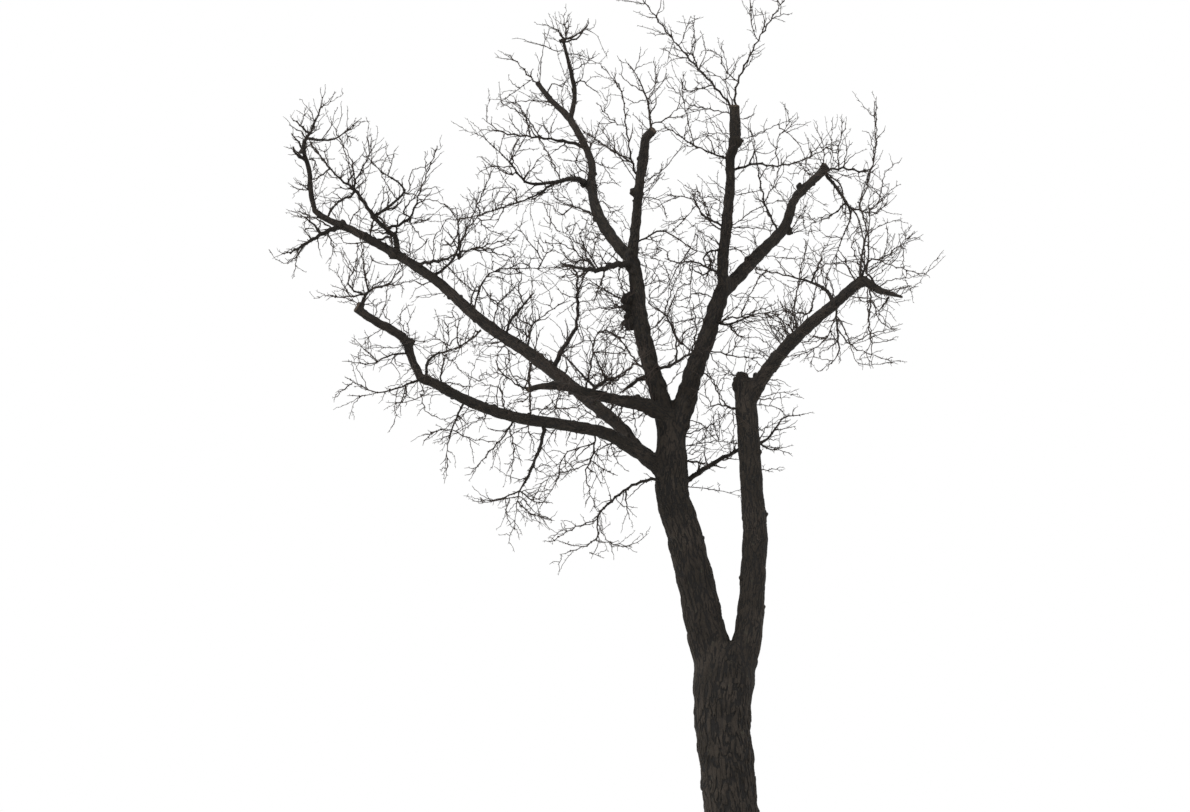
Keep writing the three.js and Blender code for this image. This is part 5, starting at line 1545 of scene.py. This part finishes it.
def paint_twigs(nodes):
    place = nodes.add("ShaderNodeTexCoord", None, None, 3)
    girth = attribute(nodes, "girth")
    mottled = nodes.noise(place, 60, 4.0, 0.6)
    pores = nodes.between(nodes.cracks(place, 260), 0.05, 0.25)
    rough_skin = nodes.noise(place, 170, 4.0, 0.65)
    plates = nodes.between(nodes.cracks(place + mottled * 0.01, 95), 0.02, 0.2)
    # Painted shade, in part: the cracks between the plates take the near-black furrow colour, both darker
    # bark and shade painted into them
    old = bark_colours(nodes, place, plates, rough_skin)
    young = nodes.blend(nodes.between(mottled, 0.3, 0.7), colour("18110d"), colour("291f18"))
    young = nodes.blend(1 - pores, young, colour("312923"))
    aged = nodes.between(girth, 0.004, 0.012)
    base = nodes.blend(aged, young, old)
    relief = mottled * 0.0012 + pores * 0.0003 + plates * aged * 0.0016
    return base, relief, nodes.between(mottled, 0, 1) * 0.2 + 0.68


def paint_buds(nodes):
    place = nodes.add("ShaderNodeTexCoord", None, None, 3)
    scales = nodes.noise(place, 300, 2.0)
    base = nodes.blend(nodes.between(scales, 0.35, 0.65), colour("1c110d"), colour("342219"))
    return base, scales * 0.0005, nodes.between(scales, 0, 1) * 0.2 + 0.45


BARK = material("furrowed_bark", paint_bark)
TWIG_BARK = material("twig_bark", paint_twigs)
BUD_SCALES = material("bud_scales", paint_buds)


def node_group(name, inputs):
    """A Geometry Nodes tree with a geometry in and out and named inputs: name to socket type."""
    tree = bpy.data.node_groups.new(name, "GeometryNodeTree")
    tree.interface.new_socket("Geometry", in_out="INPUT", socket_type="NodeSocketGeometry")
    for label, kind in inputs.items():
        tree.interface.new_socket(label, in_out="INPUT", socket_type=kind)
    tree.interface.new_socket("Geometry", in_out="OUTPUT", socket_type="NodeSocketGeometry")
    nodes = Nodes(tree)
    group_input = tree.nodes.new("NodeGroupInput")
    given = {s.name: Socket(nodes, s) for s in group_input.outputs if s.name}
    return tree, nodes, given


def finish_group(tree, nodes, geometry, bark):
    """Ends a tree: instances realized, material set, geometry out."""
    real = nodes.add("GeometryNodeRealizeInstances", None, {"Geometry": geometry})
    dressed = nodes.add("GeometryNodeSetMaterial", None, {"Geometry": real, "Material": bark})
    output = tree.nodes.new("NodeGroupOutput")
    tree.links.new(dressed.socket, output.inputs[0])
    return tree


def named_field(nodes, name, kind="FLOAT"):
    return nodes.add("GeometryNodeInputNamedAttribute", {"data_type": kind}, {"Name": name})


def sweep_group():
    """Wood swept along edges, as thick at each point as its girth says."""
    tree, nodes, given = node_group("swept_wood", {"Sides": "NodeSocketInt", "Bark": "NodeSocketMaterial"})
    curves = nodes.add("GeometryNodeMeshToCurve", None, {"Mesh": given["Geometry"]})
    swept = nodes.sweep(curves, given["Sides"], named_field(nodes, "girth"))
    return finish_group(tree, nodes, swept, given["Bark"])


def bud_group():
    """Buds set on points: each as long as its size says and pointing along its heading."""
    inputs = {"Width": "NodeSocketFloat", "Sides": "NodeSocketInt", "Scales": "NodeSocketMaterial"}
    tree, nodes, given = node_group("set_buds", inputs)
    line = nodes.add("GeometryNodeCurvePrimitiveLine", None, {"Start": (0, 0, 0), "End": (0, 0, 1)})
    line = nodes.add("GeometryNodeResampleCurve", None, {"Curve": line, "Count": 4})
    along = nodes.add("GeometryNodeSplineParameter", None, None, 0)
    belly = (1 - along) * (along + 0.3) * given["Width"] * 2.4 + 0.02
    bud = nodes.sweep(line, given["Sides"], belly)
    heading, size = named_field(nodes, "heading", "FLOAT_VECTOR"), named_field(nodes, "size")
    turned = nodes.add("FunctionNodeAlignRotationToVector", {"axis": "Z"}, {"Vector": heading})
    sockets = {"Points": given["Geometry"], "Instance": bud, "Rotation": turned, "Scale": size}
    placed = nodes.add("GeometryNodeInstanceOnPoints", None, sockets)
    return finish_group(tree, nodes, placed, given["Scales"])


def relief_group():
    """Bark raised along the surface's normal, by its plates where it has settled on one limb."""
    inputs = {
        "Relief by radius": "NodeSocketFloat", "Least": "NodeSocketFloat", "Most": "NodeSocketFloat",
        "Bark": "NodeSocketMaterial",
    }
    tree, nodes, given = node_group("bark_relief", inputs)
    grain = named_field(nodes, "grain", "FLOAT_VECTOR")
    girth, settled, cut = (named_field(nodes, n) for n in ("girth", "settled", "cut"))
    position = nodes.add("GeometryNodeInputPosition")
    lumps = nodes.noise(position, 26, 2.0)
    height = nodes.blend_values(settled, lumps, bark_height(nodes, grain)) - RELIEF_MIDDLE
    depth = girth * given["Relief by radius"]
    for operation, limit in (("MAXIMUM", "Least"), ("MINIMUM", "Most")):
        depth = nodes.add("ShaderNodeMath", {"operation": operation}, {0: depth, 1: given[limit]})
    normal = nodes.add("GeometryNodeInputNormal")
    sockets = {"Vector": normal, "Scale": height * depth * (1 - cut)}
    offset = nodes.add("ShaderNodeVectorMath", {"operation": "SCALE"}, sockets)
    raised = nodes.add("GeometryNodeSetPosition", None, {"Geometry": given["Geometry"], "Offset": offset})
    return finish_group(tree, nodes, raised, given["Bark"])


def with_nodes(obj, group, **values):
    """The object's mesh after a node group with these input values, as a plain mesh."""
    modifier = obj.modifiers.new(group.name, "NODES")
    modifier.node_group = group
    identifiers = {
        item.name: item.identifier
        for item in group.interface.items_tree
        if item.item_type == "SOCKET" and item.in_out == "INPUT"
    }
    for label, value in values.items():
        modifier[identifiers[label.replace("_", " ")]] = value
    return plain_mesh(obj)


def plain_mesh(obj):
    graph = bpy.context.evaluated_depsgraph_get()
    graph.update()
    mesh = bpy.data.meshes.new_from_object(obj.evaluated_get(graph), depsgraph=graph)
    obj.modifiers.clear()
    obj.data = mesh
    return mesh


def new_object(name, vertices, edges, faces):
    mesh = bpy.data.meshes.new(name)
    mesh.from_pydata(vertices, edges, faces, shade_flat=False)
    made = bpy.data.objects.new(name, mesh)
    bpy.context.scene.collection.objects.link(made)
    return made


def store(mesh, name, values):
    """Values at a mesh's points, single or three at a time."""
    values = np.asarray(values, np.float32)
    kind, key = ("FLOAT_VECTOR", "vector") if values.ndim == 2 else ("FLOAT", "value")
    made = mesh.attributes.new(name, kind, "POINT")
    made.data.foreach_set(key, values.ravel())


def joined_paths(paths):
    """One edge mesh of many paths: vertices in metres, edges and girths."""
    points = np.vstack([p for p, _ in paths]) * MM
    girths = np.concatenate([r for _, r in paths]) * MM
    counts = np.array([len(r) for _, r in paths])
    starts = np.cumsum(counts) - counts
    first = np.concatenate([np.arange(s, s + c - 1) for s, c in zip(starts, counts)])
    return points, np.column_stack([first, first + 1]), girths


# Skin of the trunk and boughs


def lumps_of(angle, along, seed, waves):
    """An unevenness of girth round and along a limb, from waves: turns, length and size as a share."""
    draw = seeded(seed)
    sum_of = 0
    for turns, every, size in waves:
        phase = 2 * math.pi * draw()
        sum_of = sum_of + size * np.sin(turns * angle + 2 * math.pi * along / every + phase)
    return 1 + sum_of


def transported(points):
    """Directions along a path and a pair of square directions that turn with it."""
    ahead = np.vstack([points[1:], points[-1:]])
    behind = np.vstack([points[:1], points[:-1]])
    direction = unit(ahead - behind)
    side = np.empty_like(direction)
    side[0] = across_from(direction[:1])[0]
    for i in range(1, len(points)):
        side[i] = unit(side[i - 1] - direction[i] * (side[i - 1] @ direction[i]))
    return direction, side, np.cross(direction, side)


def tube_skin(points, radii, sides, seed, waves):
    """Rings of a limb, with its lumps."""
    _, side, other = transported(points)
    angle = 2 * math.pi * np.arange(sides) / sides
    along = lengths_of(points)
    reach = radii[:, None] * lumps_of(angle[None, :], along[:, None], seed, waves)
    return (
        points[:, None] + side[:, None] * (reach * np.cos(angle))[..., None]
        + other[:, None] * (reach * np.sin(angle))[..., None]
    )


def trunk_skin(sides, seed):
    """Rings of the trunk below its fork, spread into root lobes at the ground."""
    rings = np.array(TRUNK_RINGS, float)
    smooth = smooth_path(rings, rings[:, 0], TRUNK_STEPS)[0]
    low = np.linspace(0, FLARE_TOP, FLARE_RINGS)[:-1]
    heights = np.append(low, np.linspace(FLARE_TOP, rings[-1, 0], TRUNK_SKIN_RINGS))
    lean, wide, deep = (np.interp(heights, smooth[:, 0], smooth[:, i]) for i in (1, 2, 3))
    angle = 2 * math.pi * np.arange(sides) / sides
    waves = np.cos(FLARE_LOBES * angle + FLARE_TURN)
    lobes = 1 + FLARE_LOBE_DEPTH * waves
    reach = 1 + FLARE * np.exp(-heights / FLARE_RISE)[:, None] * lobes[None, :]
    flutes = FLUTE * np.exp(-heights / FLUTE_RISE)[:, None] * waves[None, :]
    reach = (reach + flutes) * lumps_of(angle[None, :], heights[:, None], seed, LUMPS)
    return np.stack(
        [
            lean[:, None] + wide[:, None] * reach * np.cos(angle),
            deep[:, None] * reach * np.sin(angle),
            np.broadcast_to(heights[:, None], reach.shape),
        ],
        axis=-1,
    )


def knob_skin(middle, radius, seed):
    """Rings of a lumpy burl, from its lower pole to its upper."""
    tilt = np.linspace(KNOB_POLE, math.pi - KNOB_POLE, KNOB_RINGS)
    angle = 2 * math.pi * np.arange(KNOB_SIDES) / KNOB_SIDES
    reach = radius * lumps_of(angle[None, :], tilt[:, None] * KNOB_GIRDLE, seed, LUMPS) * KNOB_FULLNESS
    return middle + np.stack(
        [
            reach * np.sin(tilt)[:, None] * np.cos(angle),
            reach * np.sin(tilt)[:, None] * np.sin(angle),
            -reach * np.cos(tilt)[:, None],
        ],
        axis=-1,
    )


def closed_rings(all_rings):
    """Vertices and faces of several closed tubes, each given by its rings."""
    vertices, faces, start = [], [], 0
    for rings in all_rings:
        count, sides, _ = rings.shape
        vertices.append(rings.reshape(-1, 3) * MM)
        row = np.arange(sides)
        following = (row + 1) % sides
        for r in range(count - 1):
            low, high = start + r * sides, start + (r + 1) * sides
            faces += np.column_stack([low + row, low + following, high + following, high + row]).tolist()
        faces.append((start + row[::-1]).tolist())
        faces.append((start + (count - 1) * sides + row).tolist())
        start += count * sides
    return np.vstack(vertices), faces


def skin_path(name, steps):
    """Course and radii of a limb's skin, with its shifts from the solid."""
    knees = np.array(LIMBS[name]["knees"], float)
    for number, (side, up, girth) in SKIN_SHIFTS.get(name, {}).items():
        knees[number] += (side, up, 0, girth)
    return smooth_path(seen(knees[:, :3]), knees[:, 3], steps)


trunk_axis = [(lean, 0, height) for height, lean, _, _ in TRUNK_RINGS]
trunk_radii = [(wide + deep) / 2 for _, _, wide, deep in TRUNK_RINGS]
axes = {"trunk": smooth_path(trunk_axis, trunk_radii, TRUNK_STEPS)}
axes.update({name: skin_path(name, AXIS_STEPS) for name in LIMBS})
AXIS_NAMES = list(axes)


def burl(middle, radius, draw):
    """A burl: a lump with smaller ones all round it."""
    rings = [knob_skin(middle, radius * BURL_CORE, SEED + int(draw() * KNOB_SEEDS))]
    for _ in range(BURL_LUMPS):
        turn, tilt = 2 * math.pi * draw(), math.acos(2 * draw() - 1)
        flat = math.sin(tilt)
        outward = np.array([flat * math.cos(turn), flat * math.sin(turn), math.cos(tilt)])
        size = radius * mix(*BURL_LUMP_SIZE, draw())
        place = middle + outward * (radius * BURL_SURFACE - size * BURL_LUMP_SEAT)
        rings.append(knob_skin(place, size, SEED + int(draw() * KNOB_SEEDS)))
    return rings


def bosses(points, radii, draw):
    """Bosses where twigs were shed, here and there round a limb."""
    rings = []
    along, total = BOSS_SPACING, lengths_of(points)[-1]
    _, side, other = transported(points)
    while along < total - BOSS_SPACING:
        place, radius, _ = places_at(points, radii, np.array([along]))
        nearest = np.argmin(np.linalg.norm(points - place, axis=1))
        turn = 2 * math.pi * draw()
        outward = side[nearest] * math.cos(turn) + other[nearest] * math.sin(turn)
        size = min(radius[0], BOSS_RADIUS_MOST) * mix(*BOSS_SIZE, draw() ** BOSS_FAVOUR)
        seat = radius[0] + size * (BOSS_RISE - BOSS_SEAT)
        rings.append(knob_skin(place[0] + outward * seat, size, SEED + int(draw() * KNOB_SEEDS)))
        along += BOSS_SPACING * (BOSS_GAP_LEAST + draw()) * (1 + radius[0] / BOSS_GAP_RADIUS)
    return rings


def collars():
    """A collar of bark round the foot of each mass's stem."""
    rings = []
    for rank, mass in enumerate(MASSES.values()):
        start, following = seen(mass["stem"][:2])
        ahead, foot = unit(following - start), mass["foot"]
        along = np.array([*COLLAR_ROOTS, *[share * foot for share in COLLAR_ENDS]])
        places, radii = start + ahead * along[:, None], foot * np.array(COLLAR_GIRTHS)
        rings.append(tube_skin(places, radii, COLLAR_SIDES, COLLAR_SEED + rank, LUMPS))
    return rings


def rough_wood():
    """All limbs, burls, bosses and collars as closed forms that run into each other."""
    draw = seeded(SKIN_SEED)
    rings = [trunk_skin(TRUNK_SIDES, SEED)]
    for rank, (name, limb) in enumerate(LIMBS.items()):
        points, radii = skin_path(name, SKIN_STEPS)
        sides, waves = (STEM_SIDES, LUMPS) if radii.max() > STEM_RADIUS else (BOUGH_SIDES, BOUGH_LUMPS)
        rings.append(tube_skin(points, radii, sides, LIMB_SEED + rank, waves))
        rings += bosses(points, radii, draw)
        for side, up, behind, radius in limb["knobs"] + BURL_FILL.get(name, []):
            rings += burl(seen([(side, up, behind)])[0], radius * BURL_FULLNESS, draw)
    rings += [knob_skin(seen([place])[0], radius, SEED) for *place, radius in CROTCH_FILL]
    return closed_rings(rings + collars())


def edge_pairs(mesh):
    pairs = np.empty(len(mesh.edges) * 2, np.int32)
    mesh.edges.foreach_get("vertices", pairs)
    return pairs.reshape(-1, 2)


def places_of(mesh):
    places = np.empty(len(mesh.vertices) * 3, np.float32)
    mesh.vertices.foreach_get("co", places)
    return places.reshape(-1, 3).astype(float)


def relaxed(places, pairs, share):
    """Each vertex moved a share of the way to the middle of its neighbours."""
    count = len(places)
    degree = np.bincount(pairs.ravel(), minlength=count)
    middle = np.empty_like(places)
    for axis in range(3):
        values = places[:, axis]
        total = np.bincount(pairs[:, 0], values[pairs[:, 1]], count)
        total += np.bincount(pairs[:, 1], values[pairs[:, 0]], count)
        middle[:, axis] = total / degree
    return places + (middle - places) * share


def smoothed(share):
    return share * share * (3 - 2 * share)


def limb_reading(places):
    """For each place in millimetres: its limb's number, girth, plates round and along, and how settled."""
    count = len(places)
    best = np.full(count, np.inf)
    second = np.full(count, np.inf)
    limb = np.zeros(count, int)
    girth, cut = np.zeros(count), np.zeros(count)
    grain = np.zeros((count, 3))
    for number, (name, (points, radii)) in enumerate(axes.items()):
        room = READING_REACH * radii.max() + READING_ROOM
        low, high = points.min(axis=0) - room, points.max(axis=0) + room
        near = np.flatnonzero(((places > low) & (places < high)).all(axis=1))
        if not len(near):
            continue
        direction, side, other = transported(points)
        lengths = lengths_of(points)
        plate = PLATE + PLATE_BY_RADIUS * radii
        counted = np.concatenate([[0], np.cumsum(np.diff(lengths) * 2 / (plate[1:] + plate[:-1]))])
        here = places[near]
        gap = np.full(len(near), np.inf)
        at = np.zeros(len(near))
        for i in range(len(points) - 1):
            piece = points[i + 1] - points[i]
            t = np.clip((here - points[i]) @ piece / (piece @ piece), 0, 1)
            away = np.linalg.norm(here - points[i] - t[:, None] * piece, axis=1)
            away -= mix(radii[i], radii[i + 1], t)
            closer = away < gap
            gap[closer], at[closer] = away[closer], i + t[closer]
        i = np.minimum(at.astype(int), len(points) - 2)
        t = (at - i)[:, None]
        offset = here - mix(points[i], points[i + 1], t)
        radius = mix(radii[i], radii[i + 1], t[:, 0])
        size = PLATE + PLATE_BY_RADIUS * radius
        reading = np.column_stack([
            (offset * mix(side[i], side[i + 1], t)).sum(1) / size,
            (offset * mix(other[i], other[i + 1], t)).sum(1) / size,
            mix(counted[i], counted[i + 1], t[:, 0]) / PLATE_STRETCH + PLATE_SHIFT * number,
        ])
        better = gap < best[near]
        second[near] = np.where(better, best[near], np.minimum(second[near], gap))
        chosen = near[better]
        best[chosen], limb[chosen], girth[chosen] = gap[better], number, radius[better]
        grain[chosen] = reading[better]
        past_end = (here - points[-1]) @ direction[-1]
        cut[chosen] = (past_end[better] > -CUT_DEPTH * radii[-1]) & (name in CUT_ENDS)
    settled = smoothed(np.clip((second - best) / (SETTLED_LEAST + SETTLED_BY_GIRTH * girth), 0, 1))
    return limb, girth, grain, settled, cut


def open_loops(faces, count):
    """The loops of edges that have a face on one side only, each as a list of its vertices."""
    ahead = np.column_stack([faces.ravel(), np.roll(faces, -1, axis=1).ravel()])
    codes = ahead[:, 0] * count + ahead[:, 1]
    backwards = ahead[:, 1] * count + ahead[:, 0]
    open_edges = ahead[~np.isin(codes, backwards)]
    following = {}
    for a, b in open_edges.tolist():
        following.setdefault(a, []).append(b)
    loops = []
    while following:
        start = next(iter(following))
        loop, here = [start], following[start].pop()
        while here != start:
            loop.append(here)
            here = following[here].pop()
        for corner in loop:
            if corner in following and not following[corner]:
                del following[corner]
        loops.append(loop)
    return loops


def skin_piece(name, limbs, places, faces, limb_of_face, readings):
    """One closed piece of the skin: the faces of its limbs, closed where it meets the next piece."""
    numbers = [AXIS_NAMES.index(limb) for limb in limbs]
    own = faces[np.isin(limb_of_face, numbers)]
    used, own = np.unique(own, return_inverse=True)
    own = own.reshape(-1, 4)
    vertices = places[used]
    kept = {key: values[used] for key, values in readings.items()}
    all_faces = own.tolist()
    sharp = []
    for loop in open_loops(own, len(used)):
        middle = len(vertices)
        vertices = np.vstack([vertices, vertices[loop].mean(axis=0)])
        kept = {key: np.concatenate([values, values[loop[:1]]]) for key, values in kept.items()}
        round_loop = list(zip(loop, loop[1:] + loop[:1]))
        all_faces += [[b, a, middle] for a, b in round_loop]
        sharp += round_loop
    made = new_object(name, vertices, [], all_faces)
    mesh = made.data
    for key, values in kept.items():
        store(mesh, key, values)
    if sharp:
        pairs = np.sort(edge_pairs(mesh), axis=1)
        codes = pairs[:, 0].astype(np.int64) * len(vertices) + pairs[:, 1]
        marked = np.sort(np.array(sharp, np.int64), axis=1)
        edges = mesh.attributes.new("sharp_edge", "BOOLEAN", "EDGE")
        edges.data.foreach_set("value", np.isin(codes, marked[:, 0] * len(vertices) + marked[:, 1]))
    mesh.materials.append(BARK)
    return made


def bark_skin():
    """The pieces of bark: one skin over all limbs, relaxed in its crotches, raised and then parted."""
    vertices, faces = rough_wood()
    rough = new_object("rough_wood", vertices, [], faces)
    remesh = rough.modifiers.new("remesh", "REMESH")
    remesh.mode, remesh.voxel_size = "VOXEL", VOXEL
    mesh = plain_mesh(rough)
    places, pairs = places_of(mesh), edge_pairs(mesh)
    for share in STEADY_SHARES * STEADY_PASSES:
        places = relaxed(places, pairs, share)
    _, girth, _, settled, _ = limb_reading(places / MM)
    share = (CROTCH_SHARE * (1 - settled) * np.clip(girth / CROTCH_GIRTH, CROTCH_LEAST, 1))[:, None]
    for _ in range(CROTCH_PASSES):
        places = relaxed(places, pairs, share)
    places[:, 2] = np.maximum(places[:, 2], 0)
    limb, girth, grain, settled, cut = limb_reading(places / MM)
    mesh.vertices.foreach_set("co", places.astype(np.float32).ravel())
    mesh.update()
    readings = {"girth": girth * MM, "grain": grain, "settled": settled, "cut": cut}
    for key, values in readings.items():
        store(mesh, key, values)
    with_nodes(
        rough, relief_group(), Relief_by_radius=RELIEF_BY_RADIUS, Least=RELIEF_LEAST,
        Most=RELIEF_MOST, Bark=BARK,
    )
    places = places_of(rough.data)
    places[:, 2] = np.maximum(places[:, 2], 0)
    faces = np.empty(len(rough.data.loops), np.int32)
    rough.data.loops.foreach_get("vertex_index", faces)
    faces = faces.reshape(-1, 4)
    limb_of_face = limb[faces[:, 0]]
    bpy.data.objects.remove(rough)
    return {
        name: skin_piece(name, limbs, places, faces, limb_of_face, readings)
        for name, limbs in BARK_PIECES.items()
    }


def finish_piece(piece, nodes):
    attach(piece, "root")
    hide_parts(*nodes)


for name, piece in bark_skin().items():
    finish_piece(piece, BARK_PIECES[name])

# Twigs: the masses' stems, arms and side twigs, the branchlets, and then the finer growth
draw = seeded(TWIG_SEED)
stems = framework(draw)
side_twigs = grow_side_twigs(stems, draw)
framed = [wood for own in stems.values() for wood in own]
carriers = Carriers()
for name, limb in LIMBS.items():
    carriers.add(*limb_course(limb, LIMB_CARRIER_STEPS), LIMB_TWIGS[name])
for wood in [*framed, *side_twigs]:
    carriers.add(*smooth_path(wood.points, wood.radii, TWIG_CARRIER_STEPS), wood.piece)
branchlets = grow_branchlets(carriers, draw)
cells = carriers.reach()
boughs = [
    Wood("limb", LIMB_TWIGS[name], *path, WHIP_LIFT.get(name, LIFT))
    for name, path in limb_paths.items()
    if name not in ("left_stem", "right_stem")
]
offered = offered_on(boughs, WHIP_RULE, WHIP_REACH, draw, WHIP_FAVOUR) + offered_on_burls(draw)
whips = grown_from(offered, "side", WHIP_RULE, draw, cells)
carrying = [*framed, *side_twigs, *branchlets, *whips]
offered = offered_on(carrying, TWIGLET_RULE, TWIGLET_REACH, draw, TWIGLET_FAVOUR)
twiglets = grown_from(offered, "twiglet", TWIGLET_RULE, draw, cells)
offered = offered_on([*carrying, *twiglets], SPUR_RULE, SPUR_REACH, draw, 1.0)
spurs = grown_from(offered, "spur", SPUR_RULE, draw, cells)

sweep = sweep_group()
for name, masses in TWIG_PIECES.items():
    parts = []
    for kind, sides in SIDES.items():
        own = [w for w in [*carrying, *twiglets, *spurs] if (w.piece, w.kind) == (name, kind)]
        paths = [budded(w) if kind == "spur" else knotted(w, draw) for w in own]
        if not paths:
            continue
        points, edges, girths = joined_paths(paths)
        part = new_object(f"{name}_{kind}", points, edges.tolist(), [])
        store(part.data, "girth", girths)
        with_nodes(part, sweep, Sides=sides, Bark=TWIG_BARK)
        parts.append(part)
    joined = parts[0]
    with bpy.context.temp_override(active_object=joined, selected_editable_objects=parts):
        bpy.ops.object.join()
    joined.name = name
    finish_piece(joined, masses)

# Buds at the tips
tips = [w for w in [*carrying, *twiglets] if w.kind != "frame"]
buds = new_object("buds", np.array([w.points[-1] for w in tips]) * MM, [], [])
store(buds.data, "heading", [unit(w.points[-1] - w.points[-2]) for w in tips])
store(buds.data, "size", [BUD_LENGTH + BUD_LENGTH_VARIES * draw() for _ in tips])
with_nodes(buds, bud_group(), Width=BUD_WIDTH, Sides=BUD_SIDES, Scales=BUD_SCALES)
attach(buds, "root")

# Floor, light and camera
FLOOR_RADIUS, FLOOR_SIDES, FLOOR_MIDDLE, FLOOR_HEIGHT = 14.0, 96, -1.4, -0.002
angles = [2 * math.pi * i / FLOOR_SIDES for i in range(FLOOR_SIDES)]
rim = [(FLOOR_RADIUS * math.cos(a) + FLOOR_MIDDLE, FLOOR_RADIUS * math.sin(a), FLOOR_HEIGHT) for a in angles]
floor = new_object("floor", rim, [], [list(range(FLOOR_SIDES))])
pale = bpy.data.materials.new("pale_floor")
pale.use_nodes = True
pale.node_tree.nodes["Principled BSDF"].inputs["Base Color"].default_value = (0.82, 0.82, 0.81, 1)
pale.node_tree.nodes["Principled BSDF"].inputs["Roughness"].default_value = 0.9
floor.data.materials.append(pale)

world = bpy.data.worlds.new("bright_sky")
bpy.context.scene.world = world
world.use_nodes = True
world.node_tree.nodes["Background"].inputs["Color"].default_value = (1, 1, 1, 1)
world.node_tree.nodes["Background"].inputs["Strength"].default_value = 1.0
bpy.context.scene.view_settings.view_transform = "Standard"


def soft_light(name, towards, strength, width):
    light = bpy.data.lights.new(name, "SUN")
    light.energy, light.angle = strength, math.radians(width)
    made = bpy.data.objects.new(name, light)
    made.rotation_mode = "QUATERNION"
    made.rotation_quaternion = Vector(towards).to_track_quat("-Z", "Y")
    bpy.context.scene.collection.objects.link(made)


soft_light("left_light", (0.8, 0.5, -0.75), 2.5, 20)
soft_light("right_light", (-0.8, 0.35, -0.4), 0.8, 35)

PICTURE_WIDTH, PICTURE_HEIGHT, GROUND_ROW = 1190, 812, 902
PIXEL = 0.010
SENSOR_WIDTH, FURTHEST_SHOWN = 36, 300
AIM = Vector((EYE_SIDE * MM, 0, (GROUND_ROW - PICTURE_HEIGHT / 2) * PIXEL))
camera_data = bpy.data.cameras.new("camera")
camera = bpy.data.objects.new("camera", camera_data)
camera.location = Vector((EYE_SIDE, EYE_BEHIND, EYE_UP)) * MM
view_line = AIM - camera.location
camera.rotation_mode = "QUATERNION"
camera.rotation_quaternion = view_line.to_track_quat("-Z", "Y")
camera_data.sensor_width = SENSOR_WIDTH
camera_data.lens = SENSOR_WIDTH * view_line.length / (PICTURE_WIDTH * PIXEL)
camera_data.clip_end = FURTHEST_SHOWN
bpy.context.scene.collection.objects.link(camera)
bpy.context.scene.camera = camera
